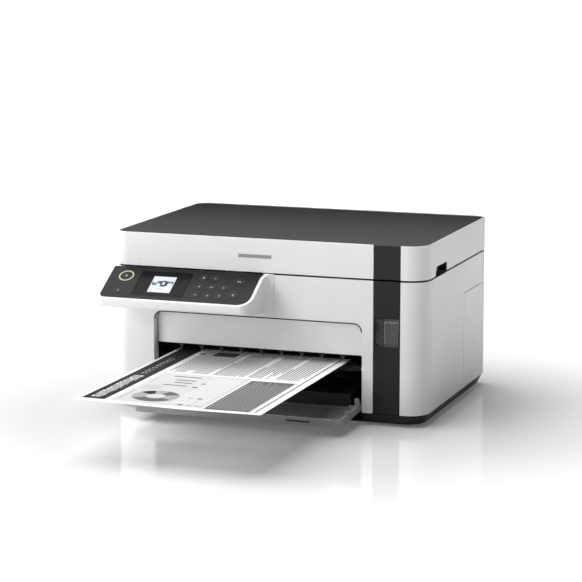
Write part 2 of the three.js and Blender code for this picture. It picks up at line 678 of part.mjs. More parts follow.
function addConsole() {
  panelGroup.position.set(0, consoleTop.y, consoleTop.z);
  panelGroup.rotation.x = rad(consoleTilt);
  panelGroup.updateMatrix();
  const toPrinter = (whole) =>
    whole.rotate([consoleTilt, 0, 0]).translate([0, consoleTop.y, consoleTop.z]);

  const lipBottom = lipTop.z - consoleLip;
  const onSlope = (back) => [lipTop.y + back, lipTop.z + back * Math.tan(rad(consoleTilt))];
  const profile = polygon([
    [consoleTop.y, consoleTop.z],
    [consoleTop.y, consoleBottom],
    [lipTop.y + 8, lipBottom - 0.6],
    [lipTop.y + 3, lipBottom + 0.3],
    [lipTop.y + 0.9, lipBottom + 1.8],
    [lipTop.y, lipBottom + 4],
    [lipTop.y, lipTop.z - 1.3],
    [lipTop.y + 0.4, lipTop.z - 0.2],
    onSlope(1.5),
  ]);
  const fullWidth = [0, consoleWidth + consoleBlend];
  const frontView = roundedRect(fullWidth, [consoleBottom, consoleTop.z],
    [consoleCorners.leftUnder, 0, 0, 0]);
  const shell = drawX(profile, fullWidth)
    .intersect(riseZ(consolePlan(), [0, far], roundSteps))
    .intersect(drawY(frontView, [-far, far], roundSteps));
  const recessZ = [-panelThick - fit, 5];
  const openTop = block([consoleRim, consoleWidth - consoleRim], [-panelTopGap - 1, 5], recessZ);
  const recess = toPrinter(join(riseZ(panelOutline(0), recessZ, roundSteps), openTop));
  const room = [consoleRim + 5.5, consoleWidth - 8];
  const inside = toPrinter(block(room, [-panelLength + 7, -7], [-9, 1]));
  const openBack = 1; // the hollow is open towards the front cover
  const hollowFront = lipTop.y + 14;
  const hollowX = [consoleRim + 10, consoleWidth - 8];
  const hollow = drawX(polygon([
    [openBack, consoleTop.z - 12],
    [openBack, consoleBottom + wall + 1],
    [hollowFront, lipBottom + wall + 1],
    [hollowFront, lipTop.z - 3],
  ]), hollowX);
  add('console_body', cut(shell, recess, inside, hollow), finish.white);

  const paneOf = (grow, z) => block([displayPlace.x[0] - grow, displayPlace.x[1] + grow],
    [-displayPlace.s[1] - grow, -displayPlace.s[0] + grow], z);
  const keyHoles = Object.values(keys).map(([x, s, radius]) =>
    rodZ(x, -s, [-5, 5], radius + fit, keySides));
  const panel = riseZ(panelOutline(bezel), [-panelThick, 0], roundSteps);
  add('console_panel', cut(panel, paneOf(0, [-5, 5]), ...keyHoles), finish.gloss, panelGroup);
  add('display', paneOf(-bezel, [-panelThick, -0.2]), finish.screen, panelGroup);
  for (const [name, [x, s, radius]] of Object.entries(keys)) {
    add(name, rodZ(x, -s, [keyProud - keyLength, keyProud], radius, keySides), finish.gloss, panelGroup);
  }
}

// ---------- scanner unit ----------
const lidTop = bodyHeight - lidSink;
const lidBottom = lidTop - lidThick;
const padRoom = 3.5;
const glassTop = lidBottom - padRoom;
const deckBottom = glassTop - glassThick - fit - 4;
const lidHingeY = bodyDepth - lidRim - fit - 0.3;
const platenGlass = { x: [12, 12 + glassWidth], y: [22, 22 + glassDepth] };
const glassLedge = 6; // deck under the glass's edges
const fingerNotch = { y: [41, 88], slant: 5, top: 177.5, depth: 9, wall: 2.5 };
const scanBar = { start: 2, width: 16, over: 6 };

function addScanner() {
  const outer = riseZ(planShape(0), [upperBottom, bodyHeight], roundSteps);
  const lidRecess = riseZ(planShape(lidRim), [lidBottom - padRoom, bodyHeight + 1], roundSteps);
  const cavity = riseZ(planShape(wall + 2), [upperBottom + wall, deckBottom], 3);
  const grooveY = [-1, stripRecess + stripThick + fit];
  const stripGroove = block([stripLeft - seam / 2, stripRight + seam / 2], grooveY,
    [upperBottom - 1, bodyHeight + 1]);
  const g = platenGlass;
  const glassSeat = block([g.x[0] - fit, g.x[1] + fit], [g.y[0] - fit, g.y[1] + fit],
    [glassTop - glassThick - fit, far]);
  const scanHole = block([g.x[0] + glassLedge, g.x[1] - glassLedge],
    [g.y[0] + glassLedge, g.y[1] - glassLedge], [deckBottom - 1, far]);
  const notchShape = (grow, bottom) => {
    const [front, back] = [fingerNotch.y[0] - grow, fingerNotch.y[1] + grow];
    const top = fingerNotch.top + grow;
    return polygon([[front, bottom], [back, bottom], [back, top], [front + fingerNotch.slant, top]]);
  };
  const notchDeep = bodyWidth - fingerNotch.depth;
  const notch = drawX(notchShape(0, upperBottom - 1), [notchDeep, bodyWidth + 1]);
  const housing = cut(outer, lidRecess, cavity, stripGroove, glassSeat, scanHole);
  const notchLining = drawX(notchShape(fingerNotch.wall, upperBottom),
    [notchDeep - fingerNotch.wall, bodyWidth - 1]);
  add('scanner_housing', cut(join(housing, notchLining), notch), finish.white);

  const stripX = [stripLeft + seam / 2, stripRight - seam / 2];
  const strip = block(stripX, [stripRecess, stripRecess + stripThick], [upperBottom, lidTop]);
  add('scanner_strip', strip, finish.black);
  add('scanner_glass', block(g.x, g.y, [glassTop - glassThick, glassTop - fit]), finish.clear);

  const barZ = [upperBottom + wall + fit, deckBottom - 1.5];
  const barX = [g.x[0] + scanBar.start, g.x[0] + scanBar.start + scanBar.width];
  add('scan_bar', block(barX, [g.y[0] - scanBar.over, g.y[1] + scanBar.over], barZ), finish.black);

  const frontStop = stripRecess + stripThick + fit * 2;
  const lid = riseZ(planShape(lidRim + fit), [lidBottom, lidTop], roundSteps);
  const hingeLine = block([-far, far], [lidHingeY, far], [-far, far]);
  const stripRelief = block([stripLeft - seam, stripRight + seam], [-1, frontStop], [-far, far]);
  add('document_lid', cut(lid, hingeLine, stripRelief), finish.lid);
}

addBase();
addCovers();
addStrip();
addFrame();
addFlap();
addCassette();
addFeed();
addPlaten();
addCarriage();
addCarriageDrive();
addInk();
addElectronics();
addTray();
addSheet();
addConsole();
addScanner();

printer.position.set(-bodyWidth / 2, -(sheetFront + bodyDepth) / 2, 0);

const model = new THREE.Group();
model.add(printer);
export default model;
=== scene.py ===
# Looks of an ink-tank all-in-one printer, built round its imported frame. Metres, Z up.
import bmesh
import bpy
import json
import math
import random
from mathutils import Matrix, Vector


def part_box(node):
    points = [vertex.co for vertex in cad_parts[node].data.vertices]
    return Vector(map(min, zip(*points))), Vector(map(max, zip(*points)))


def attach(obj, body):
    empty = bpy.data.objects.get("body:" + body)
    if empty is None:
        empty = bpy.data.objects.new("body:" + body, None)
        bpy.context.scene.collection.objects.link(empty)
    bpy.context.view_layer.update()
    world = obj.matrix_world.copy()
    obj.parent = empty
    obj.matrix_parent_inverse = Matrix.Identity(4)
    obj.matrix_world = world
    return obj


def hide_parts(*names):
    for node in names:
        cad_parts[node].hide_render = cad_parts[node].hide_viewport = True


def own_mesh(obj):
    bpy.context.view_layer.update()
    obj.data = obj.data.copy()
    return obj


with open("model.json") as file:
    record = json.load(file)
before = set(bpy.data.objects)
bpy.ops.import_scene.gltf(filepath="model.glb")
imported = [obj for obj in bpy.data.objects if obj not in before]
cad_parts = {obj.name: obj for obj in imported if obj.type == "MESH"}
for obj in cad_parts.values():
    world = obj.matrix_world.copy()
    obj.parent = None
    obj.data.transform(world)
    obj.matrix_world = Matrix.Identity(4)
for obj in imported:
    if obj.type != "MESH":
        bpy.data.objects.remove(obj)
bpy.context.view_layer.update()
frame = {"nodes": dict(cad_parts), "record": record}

mm = 0.001
bodyOf = {node: body for body, nodes in frame["record"]["behaviour"]["bodies"].items() for node in nodes}
housingLow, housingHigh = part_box("scanner_housing")
leftSide, frontFace = housingLow.x, housingLow.y  # measuring corner of the printer


def at(x, y, z):  # millimetres from the printer's left side, front face and floor
    return Vector((leftSide + x * mm, frontFace + y * mm, z * mm))


print("frame loaded:", len(frame["nodes"]), "nodes")

# camera
cameraSettings = dict(
    place=at(1063.2, -2361.6, 589.7), pitch=9.98, yaw=19.70, lens=139.7, sensor=36.0, farthest=50)
cameraData = bpy.data.cameras.new("studioCamera")
cameraData.lens = cameraSettings["lens"]
cameraData.sensor_width = cameraSettings["sensor"]
cameraData.clip_end = cameraSettings["farthest"]
studioCamera = bpy.data.objects.new("studioCamera", cameraData)
bpy.context.scene.collection.objects.link(studioCamera)
studioCamera.location = cameraSettings["place"]
studioCamera.rotation_euler = (
    math.radians(90 - cameraSettings["pitch"]), 0, math.radians(cameraSettings["yaw"]))
bpy.context.scene.camera = studioCamera


# node helpers
def newMaterial(name):
    material = bpy.data.materials.new(name)
    material.use_nodes = True
    nodes = material.node_tree.nodes
    nodes.clear()
    out = nodes.new("ShaderNodeOutputMaterial")
    shader = nodes.new("ShaderNodeBsdfPrincipled")
    material.node_tree.links.new(shader.outputs["BSDF"], out.inputs["Surface"])
    return material, shader


def addNode(material, kind, **values):
    node = material.node_tree.nodes.new(kind)
    for key, value in values.items():
        setattr(node, key, value)
    return node


def wire(material, source, target):
    material.node_tree.links.new(source, target)


def noiseOf(material, size, detail=3.0, stretch=(1, 1, 1)):
    place = addNode(material, "ShaderNodeTexCoord")
    mapping = addNode(material, "ShaderNodeMapping")
    mapping.inputs["Scale"].default_value = stretch
    noise = addNode(material, "ShaderNodeTexNoise")
    noise.inputs["Scale"].default_value = 1.0 / size
    noise.inputs["Detail"].default_value = detail
    wire(material, place.outputs["Object"], mapping.inputs["Vector"])
    wire(material, mapping.outputs["Vector"], noise.inputs["Vector"])
    return noise.outputs["Fac"]


def spread(material, value, low, high, fromLow=0.3, fromHigh=0.7):
    ranged = addNode(material, "ShaderNodeMapRange")
    ranged.inputs["From Min"].default_value = fromLow
    ranged.inputs["From Max"].default_value = fromHigh
    ranged.inputs["To Min"].default_value = low
    ranged.inputs["To Max"].default_value = high
    wire(material, value, ranged.inputs["Value"])
    return ranged.outputs["Result"]


def mixColours(material, factor, first, second):
    mixer = addNode(material, "ShaderNodeMix", data_type="RGBA")
    mixer.inputs["A"].default_value = (*first, 1)
    mixer.inputs["B"].default_value = (*second, 1)
    wire(material, factor, mixer.inputs["Factor"])
    return mixer.outputs["Result"]


def bumpFrom(material, height, depth, below=None):
    bump = addNode(material, "ShaderNodeBump")
    bump.inputs["Distance"].default_value = depth
    wire(material, height, bump.inputs["Height"])
    if below is not None:
        wire(material, below, bump.inputs["Normal"])
    return bump.outputs["Normal"]


# moulded plastic: slow tone drift, patchy gloss and a fine spark-eroded grain, sizes in metres
plasticFeel = dict(drift=0.09, patch=0.012, wave=0.05, waviness=0.00012, shine=0.5)


def mouldedPlastic(settings):
    material, shader = newMaterial(settings["name"])
    drift = spread(material, noiseOf(material, plasticFeel["drift"]), 0, 1)
    tone = mixColours(material, drift, settings["tone"], settings["tone2"])
    wire(material, tone, shader.inputs["Base Color"])
    gloss = noiseOf(material, plasticFeel["patch"], 4)
    low, high = settings["rough"]
    wire(material, spread(material, gloss, low, high), shader.inputs["Roughness"])
    grain = noiseOf(material, settings["grain"], 2)
    wave = noiseOf(material, plasticFeel["wave"], 1)
    soft = bumpFrom(material, wave, settings.get("waviness", plasticFeel["waviness"]))
    wire(material, bumpFrom(material, grain, settings["depth"], soft), shader.inputs["Normal"])
    shader.inputs["Specular IOR Level"].default_value = settings.get("shine", plasticFeel["shine"])
    return material


whitePlastic = mouldedPlastic(dict(
    name="whitePlastic", tone=(0.80, 0.805, 0.815), tone2=(0.83, 0.833, 0.84),
    rough=(0.36, 0.46), grain=0.0006, depth=0.00002, shine=0.35))
# front flap: the white plastic made lighter than the body's to offset the console's shadow on it, painted
# light; the tray's front ridge uses it too
flapWhiteWithPaintedLight = mouldedPlastic(dict(
    name="flapWhiteWithPaintedLight", tone=(0.87, 0.872, 0.878), tone2=(0.90, 0.902, 0.906),
    rough=(0.4, 0.5), grain=0.0006, depth=0.00002))
trayPlastic = mouldedPlastic(dict(
    name="trayPlastic", tone=(0.26, 0.263, 0.268), tone2=(0.30, 0.303, 0.308),
    rough=(0.36, 0.46), grain=0.0006, depth=0.00002))
basePlastic = mouldedPlastic(dict(
    name="basePlastic", tone=(0.010, 0.010, 0.011), tone2=(0.015, 0.015, 0.016),
    rough=(0.42, 0.55), grain=0.0009, depth=0.00004, shine=0.2))
blackPlastic = mouldedPlastic(dict(
    name="blackPlastic", tone=(0.018, 0.018, 0.019), tone2=(0.026, 0.026, 0.028),
    rough=(0.42, 0.58), grain=0.0008, depth=0.00004))
stripPlastic = mouldedPlastic(dict(
    name="stripPlastic", tone=(0.011, 0.0115, 0.0125), tone2=(0.015, 0.0155, 0.0165),
    rough=(0.30, 0.38), grain=0.0006, depth=0.00002, shine=0.25))
lidPlastic = mouldedPlastic(dict(
    name="lidPlastic", tone=(0.006, 0.006, 0.006), tone2=(0.008, 0.008, 0.008),
    rough=(0.10, 0.13), grain=0.0011, depth=0.00001, waviness=0.00002, shine=0.3))
panelGloss = mouldedPlastic(dict(
    name="panelGloss", tone=(0.013, 0.013, 0.0135), tone2=(0.016, 0.016, 0.0165),
    rough=(0.3, 0.36), grain=0.0005, depth=0.000006, waviness=0.00001, shine=0.08))
keyGloss = mouldedPlastic(dict(
    name="keyGloss", tone=(0.013, 0.013, 0.0135), tone2=(0.017, 0.017, 0.0175),
    rough=(0.3, 0.36), grain=0.0005, depth=0.000006, waviness=0.00001, shine=0.08))
screenGlass = mouldedPlastic(dict(
    name="screenGlass", tone=(0.004, 0.004, 0.005), tone2=(0.006, 0.006, 0.007),
    rough=(0.16, 0.2), grain=0.002, depth=0.000002, waviness=0.00001, shine=0.05))
acetal = mouldedPlastic(dict(
    name="acetal", tone=(0.72, 0.70, 0.62), tone2=(0.77, 0.75, 0.68),
    rough=(0.34, 0.46), grain=0.0007, depth=0.00002))
rubber = mouldedPlastic(dict(
    name="rubber", tone=(0.018, 0.018, 0.018), tone2=(0.030, 0.030, 0.030),
    rough=(0.7, 0.85), grain=0.0005, depth=0.00006))
boardGreen = mouldedPlastic(dict(
    name="boardGreen", tone=(0.02, 0.11, 0.05), tone2=(0.03, 0.15, 0.07),
    rough=(0.25, 0.4), grain=0.0012, depth=0.00003))
paperWhite = mouldedPlastic(dict(
    name="paperWhite", tone=(0.86, 0.86, 0.855), tone2=(0.89, 0.89, 0.885),
    rough=(0.8, 0.9), grain=0.0004, depth=0.00002))


# rolled or turned metal, its scratches drawn out along one axis
metalFeel = dict(rough=(0.22, 0.42), depth=0.00002)


def brushedMetal(settings):
    material, shader = newMaterial(settings["name"])
    lines = noiseOf(material, settings["line"], 6, settings["stretch"])
    tone = mixColours(material, lines, settings["tone"], settings["tone2"])
    wire(material, tone, shader.inputs["Base Color"])
    wire(material, spread(material, lines, *metalFeel["rough"]), shader.inputs["Roughness"])
    wire(material, bumpFrom(material, lines, metalFeel["depth"]), shader.inputs["Normal"])
    shader.inputs["Metallic"].default_value = 1
    return material


railSteel = brushedMetal(dict(
    name="railSteel", tone=(0.50, 0.51, 0.53), tone2=(0.63, 0.64, 0.66), line=0.0008, stretch=(0.03, 1, 1)))
canSteel = brushedMetal(dict(
    name="canSteel", tone=(0.42, 0.43, 0.45), tone2=(0.58, 0.59, 0.60), line=0.0008, stretch=(1, 0.04, 1)))


# clear moulding with faint flow marks
clearFeel = dict(flow=0.02, rough=(0.05, 0.14), depth=0.00005, bending=1.46)


def clearPlastic(settings):
    material, shader = newMaterial(settings["name"])
    flow = noiseOf(material, clearFeel["flow"])
    tone = mixColours(material, flow, settings["tone"], settings["tone2"])
    wire(material, tone, shader.inputs["Base Color"])
    wire(material, spread(material, flow, *clearFeel["rough"]), shader.inputs["Roughness"])
    wire(material, bumpFrom(material, flow, clearFeel["depth"]), shader.inputs["Normal"])
    shader.inputs["Transmission Weight"].default_value = settings["through"]
    shader.inputs["IOR"].default_value = clearFeel["bending"]
    shader.inputs["Alpha"].default_value = settings["alpha"]
    return material


windowClear = clearPlastic(dict(
    name="windowClear", tone=(0.10, 0.10, 0.105), tone2=(0.14, 0.14, 0.145), through=0.6, alpha=0.3))
tankClear = clearPlastic(dict(
    name="tankClear", tone=(0.72, 0.74, 0.76), tone2=(0.80, 0.82, 0.83), through=0.6, alpha=0.75))
platenGlass = clearPlastic(dict(
    name="platenGlass", tone=(0.80, 0.86, 0.85), tone2=(0.84, 0.89, 0.88), through=0.8, alpha=0.4))
print("materials ready")


# screen printing and inkjet print on their base: fine dots of tone, no gloss
printFeel = dict(dot=0.0005, rough=(0.55, 0.8), depth=0.000008, shine=0.2)


def printTone(settings):
    material, shader = newMaterial(settings["name"])
    dots = noiseOf(material, settings.get("dot", printFeel["dot"]), 2)
    tone = mixColours(material, spread(material, dots, 0, 1), settings["tone"], settings["tone2"])
    wire(material, tone, shader.inputs["Base Color"])
    wire(material, spread(material, dots, *printFeel["rough"]), shader.inputs["Roughness"])
    wire(material, bumpFrom(material, dots, printFeel["depth"]), shader.inputs["Normal"])
    shader.inputs["Specular IOR Level"].default_value = printFeel["shine"]
    if settings.get("glow"):
        shader.inputs["Emission Color"].default_value = (*settings["tone2"], 1)
        shader.inputs["Emission Strength"].default_value = settings["glow"]
    return material


inkBlack = printTone(dict(name="inkBlack", tone=(0.012, 0.012, 0.012), tone2=(0.022, 0.022, 0.022)))
inkDark = printTone(dict(name="inkDark", tone=(0.11, 0.11, 0.11), tone2=(0.16, 0.16, 0.16)))
inkGrey = printTone(dict(name="inkGrey", tone=(0.36, 0.36, 0.36), tone2=(0.44, 0.44, 0.44)))
# pale ink of the sheet's print; the same colour paints the highlight on the ink tank's rims
paleInkAndTankHighlight = printTone(dict(name="paleInkAndTankHighlight", tone=(0.62, 0.62, 0.62), tone2=(0.68, 0.68, 0.68)))
iconPaint = printTone(dict(name="iconPaint", tone=(0.32, 0.32, 0.32), tone2=(0.38, 0.38, 0.38), dot=0.0003))
ringPaint = printTone(dict(
    name="ringPaint", tone=(0.075, 0.075, 0.077), tone2=(0.10, 0.10, 0.103), dot=0.0003))
ringGlow = printTone(dict(name="ringGlow", tone=(0.46, 0.48, 0.30), tone2=(0.50, 0.52, 0.34), glow=0.18))
lcdPale = printTone(dict(name="lcdPale", tone=(0.52, 0.54, 0.58), tone2=(0.60, 0.62, 0.66), glow=0.26))
lcdBlue = printTone(dict(name="lcdBlue", tone=(0.10, 0.14, 0.20), tone2=(0.16, 0.21, 0.29), glow=0.08))
lcdDark = printTone(dict(name="lcdDark", tone=(0.02, 0.03, 0.05), tone2=(0.05, 0.07, 0.10)))
tankRib = mouldedPlastic(dict(
    name="tankRib", tone=(0.26, 0.26, 0.265), tone2=(0.36, 0.36, 0.365),
    rough=(0.2, 0.3), grain=0.0007, depth=0.00002))
trayFloor = mouldedPlastic(dict(
    name="trayFloor", tone=(0.20, 0.20, 0.205), tone2=(0.24, 0.24, 0.245),
    rough=(0.3, 0.4), grain=0.0006, depth=0.00002))
print("print and detail materials ready")


# shapes: drawn in millimetres, set in place when they are finished
printerFrame = Matrix.Translation(at(0, 0, 0)) @ Matrix.Scale(mm, 4)
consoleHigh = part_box("console_body")[1]
panelTilt = math.radians(30)
panelFrame = (Matrix.Translation((leftSide, consoleHigh.y, consoleHigh.z))
              @ Matrix.Rotation(panelTilt, 4, "X") @ Matrix.Scale(mm, 4))
jointRows = {row["name"]: row for row in frame["record"]["behaviour"]["joints"]}
trayHinge = Vector(jointRows["tray_hinge"]["pos_m"])
trayTilt = math.radians(3.6)
trayFrame = (Matrix.Translation((leftSide, trayHinge.y, trayHinge.z))
             @ Matrix.Rotation(trayTilt, 4, "X") @ Matrix.Scale(mm, 4))


def soften(shape, edge, segments=2, sharpest=28):
    if edge <= 0:
        return
    sharp = [line for line in shape.edges
             if len(line.link_faces) == 2 and line.calc_face_angle(0) > math.radians(sharpest)]
    bmesh.ops.bevel(
        shape, geom=sharp, offset=edge, offset_type="OFFSET", segments=segments, profile=0.5,
        affect="EDGES", clamp_overlap=True, material=-1)


def paint(shape, look):
    for face in shape.faces:
        face.material_index = look
    return shape


# flat slab with round corners in plan
def plate(x, y, z, radius=0.0, edge=0.3, look=0, steps=6):
    shape = bmesh.new()
    bmesh.ops.create_grid(shape, x_segments=1, y_segments=1, size=0.5)
    bmesh.ops.scale(shape, vec=(x[1] - x[0], y[1] - y[0], 1), verts=shape.verts)
    if radius > 0:
        bmesh.ops.bevel(
            shape, geom=shape.verts[:], offset=radius, offset_type="OFFSET", segments=steps, profile=0.5,
            affect="VERTICES", material=-1)
    raised = bmesh.ops.extrude_face_region(shape, geom=shape.faces[:])
    top = [part for part in raised["geom"] if isinstance(part, bmesh.types.BMVert)]
    bmesh.ops.translate(shape, vec=(0, 0, z[1] - z[0]), verts=top)
    bmesh.ops.recalc_face_normals(shape, faces=shape.faces[:])
    soften(shape, edge)
    bmesh.ops.translate(shape, vec=((x[0] + x[1]) / 2, (y[0] + y[1]) / 2, z[0]), verts=shape.verts)
    return paint(shape, look)


def rod(start, end, radius, edge, look=0, sides=24):
    shape = bmesh.new()
    along = Vector(end) - Vector(start)
    bmesh.ops.create_cone(
        shape, cap_ends=True, cap_tris=False, segments=sides, radius1=radius, radius2=radius,
        depth=along.length)
    soften(shape, edge, sharpest=50)
    middle = Matrix.Translation((Vector(start) + Vector(end)) / 2)
    turn = along.to_track_quat("Z", "Y").to_matrix().to_4x4()
    bmesh.ops.transform(shape, matrix=middle @ turn, verts=shape.verts)
    return paint(shape, look)


# bead turned round a centre: width between two radii, height as given
def bead(centre, inner, outer, height, sides=48, sectionSides=10):
    shape = bmesh.new()
    bmesh.ops.create_circle(shape, cap_ends=False, segments=sectionSides, radius=0.5)
    bmesh.ops.rotate(shape, cent=(0, 0, 0), matrix=Matrix.Rotation(math.pi / 2, 3, "X"), verts=shape.verts)
    bmesh.ops.scale(shape, vec=(outer - inner, 1, height), verts=shape.verts)
    bmesh.ops.translate(shape, vec=((inner + outer) / 2, 0, 0), verts=shape.verts)
    bmesh.ops.spin(
        shape, geom=shape.verts[:] + shape.edges[:], cent=(0, 0, 0), axis=(0, 0, 1), dvec=(0, 0, 0),
        angle=2 * math.pi, steps=sides, use_merge=True, use_duplicate=False)
    bmesh.ops.remove_doubles(shape, verts=shape.verts[:], dist=0.0005)
    bmesh.ops.recalc_face_normals(shape, faces=shape.faces[:])
    bmesh.ops.translate(shape, vec=centre, verts=shape.verts)
    return shape


# flat sign of a few sides, just thick enough to catch light at its edge
def sign(centre, radius, sides, turn=0.0, look=0, stretch=(1, 1), thick=0.06):
    shape = bmesh.new()
    bmesh.ops.create_cone(
        shape, cap_ends=True, cap_tris=False, segments=sides, radius1=radius, radius2=radius, depth=thick)
    bmesh.ops.rotate(
        shape, cent=(0, 0, 0), matrix=Matrix.Rotation(math.radians(turn), 3, "Z"), verts=shape.verts)
    bmesh.ops.scale(shape, vec=(stretch[0], stretch[1], 1), verts=shape.verts)
    bmesh.ops.translate(shape, vec=centre, verts=shape.verts)
    return paint(shape, look)


def gather(parts):
    whole = bmesh.new()
    for part in parts:
        holder = bpy.data.meshes.new("holder")
        part.to_mesh(holder)
        part.free()
        whole.from_mesh(holder)
        bpy.data.meshes.remove(holder)
    return whole


smoothAngle = 32  # degrees between faces that still shade as one
slotOf = {row["node"]: row["material_slot"] for row in frame["record"]["subparts"]}


def finishPiece(shape, name, body, finishes, replaced=(), slotName=None, where=None):
    if where is not None:
        bmesh.ops.transform(shape, matrix=where, verts=shape.verts)
    mesh = bpy.data.meshes.new(name)
    shape.to_mesh(mesh)
    shape.free()
    piece = bpy.data.objects.new(name, mesh)
    bpy.context.scene.collection.objects.link(piece)
    for finish in finishes:
        mesh.materials.append(finish)
    mesh.polygons.foreach_set("use_smooth", [True] * len(mesh.polygons))
    mesh.set_sharp_from_angle(angle=math.radians(smoothAngle))
    weighted = piece.modifiers.new("weighted", "WEIGHTED_NORMAL")
    weighted.keep_sharp = True
    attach(piece, body)
    if replaced:
        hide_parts(*replaced)
        slotName = slotName or slotOf[replaced[0]]
    return piece


# copies of the frame's own solids, with every edge softened
mergeReach = 0.000002  # metres
flatAngle = 0.6  # degrees


def softShape(node, edge, segments):
    shape = bmesh.new()
    shape.from_mesh(frame["nodes"][node].data)
    bmesh.ops.remove_doubles(shape, verts=shape.verts, dist=mergeReach)
    bmesh.ops.dissolve_limit(
        shape, angle_limit=math.radians(flatAngle), verts=shape.verts, edges=shape.edges)
    soften(shape, edge * mm, segments)
    return shape


finishOf = {
    "white_plastic": whitePlastic, "flap_grey": flapWhiteWithPaintedLight, "black_plastic": blackPlastic,
    "strip_black": stripPlastic, "lid_charcoal": lidPlastic, "panel_gloss": panelGloss,
    "key_gloss": keyGloss, "head_gloss": panelGloss, "foot_rubber": rubber, "roller_rubber": rubber,
    "rail_steel": railSteel, "gear_acetal": acetal, "board_green": boardGreen,
    "clear_window": windowClear, "tank_clear": tankClear, "platen_glass": platenGlass,
    "screen_glass": screenGlass, "sheet_paper": paperWhite,
}
usualEdge = 0.4
edgeSizes = dict(  # millimetres, where they differ from the usual edge
    scanner_housing=0.7, document_lid=1.4, front_cover=0.6, console_body=0.9, output_tray=0.7,
    corner_column=0.6, base_pan=0.8, front_strip=0.25, scanner_strip=0.3, ink_window=0.3, console_panel=0.2,
    main_board=0.1, front_flap=0.5)
nodeFinish = dict(output_tray=trayPlastic, base_pan=basePlastic)
keyNodes = [node for node in frame["nodes"] if node.endswith("_button")]
ownPieces = set(keyNodes) | {"display", "printed_sheet"}
for node in frame["nodes"]:
    if node not in ownPieces:
        segments = 3 if node in edgeSizes else 2
        finish = nodeFinish.get(node, finishOf[slotOf[node]])
        finishPiece(softShape(node, edgeSizes.get(node, usualEdge), segments), node + "_shell", bodyOf[node],
                    [finish], [node])
print("softened copies done")

# keys: dished cap, printed ring and sign
keySettings = dict(
    dish=0.05, dishShare=0.25, ringInset=0.05, ringWide=0.4, edge=0.06, length=3.2, sides=48, signLift=0.02)
lightRing = dict(inner=0.4, outer=2.1, height=0.8, lift=0.05)
signOf = {  # each sign: x, y, radius, sides, turn
    "home_button": [(0, 0.2, 1.7, 5, 90)], "up_button": [(0, 0, 1.6, 3, 90)],
    "down_button": [(0, 0, 1.6, 3, -90)], "left_button": [(0, 0, 1.6, 3, 180)],
    "right_button": [(0, 0, 1.6, 3, 0)], "ok_button": [(-1.1, 0, 0.9, 16, 0), (1.1, 0, 0.9, 16, 0)],
    "back_button": [(-0.8, 0, 1.2, 3, 180), (1.2, 0, 0.9, 4, 45)],
    "help_button": [(0, 0.9, 1.0, 12, 0), (0, -1.3, 0.45, 8, 0)],
    "stop_button": [(0, 0, 2.0, 3, 90), (0, -2.6, 0.5, 8, 0)],
    "start_button": [(-1.2, 0, 1.6, 4, 0), (1.5, 0, 1.2, 4, 0)],
    "menu_button": [(0, -0.8, 0.6, 10, 0), (0, 0.9, 1.2, 3, -90)],
    "power_button": [(0, 0, 1.5, 16, 0), (0, 2.4, 0.5, 4, 45)],
}


def keyShape(node, radius):
    cap = bmesh.new()
    bmesh.ops.create_cone(
        cap, cap_ends=True, cap_tris=False, segments=keySettings["sides"], radius1=radius,
        radius2=radius, depth=keySettings["length"])
    soften(cap, keySettings["edge"], sharpest=50)
    top = max(cap.faces, key=lambda face: face.calc_center_median().z)
    bmesh.ops.inset_region(cap, faces=[top], thickness=keySettings["ringInset"] * radius, depth=0)
    before = set(cap.faces)
    bmesh.ops.inset_region(cap, faces=[top], thickness=keySettings["ringWide"], depth=0)
    for face in set(cap.faces) - before:
        face.material_index = 1
    bmesh.ops.inset_region(
        cap, faces=[top], thickness=radius * keySettings["dishShare"], depth=-keySettings["dish"])
    height = keySettings["length"] / 2 - keySettings["dish"] + keySettings["signLift"]
    signs = [sign((x, y, height), size, sides, turn, 2) for x, y, size, sides, turn in signOf[node]]
    return gather([cap] + signs)


for node in keyNodes:
    low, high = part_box(node)
    radius = (high.x - low.x) / 2 / mm
    centre = (low + high) / 2
    turn = Matrix.Translation(centre) @ Matrix.Rotation(panelTilt, 4, "X") @ Matrix.Scale(mm, 4)
    finishPiece(keyShape(node, radius), node + "_cap", bodyOf[node], [keyGloss, ringPaint, iconPaint],
                [node], where=turn)
    if node == "power_button":
        inPanel = panelFrame.inverted() @ centre
        glow = bead((inPanel.x, inPanel.y, lightRing["lift"]), radius + lightRing["inner"],
                    radius + lightRing["outer"], lightRing["height"])
        finishPiece(glow, "power_light_ring", "chassis", [ringGlow], slotName="key_gloss", where=panelFrame)
print("keys done")

# display window with its lit picture; shares are of the picture's width and height
display = dict(
    glass=[(40.35, 102.15), (-50.65, -8.35)], glassZ=(-1.6, -0.2), glassCorner=1.2, glassEdge=0.15,
    lcd=[(57.2, 84.8), (-44.0, -16.0)], lift=0.02, corner=0.6, skyInset=0.6, sky=(0.44, 0.72), skyCorner=2.4,
    clouds=[(0.16, 0.66, 0.07), (0.34, 0.50, 0.06), (0.84, 0.52, 0.08)], cloudStretch=(1.5, 1),
    globe=(0.55, 0.56, 0.19), page=[(0.49, 0.60), (0.48, 0.66)], pageCorner=0.5,
    line=[(0.3, 0.62), (0.20, 0.23)])
lcdLayers = dict(  # lower and upper height of each layer of the picture
    base=(0, 0.05), sky=(0.03, 0.07), line=(0.04, 0.08), page=(0.12, 0.14), globe=(0.08, 0.08),
    clouds=(0.09, 0.09))


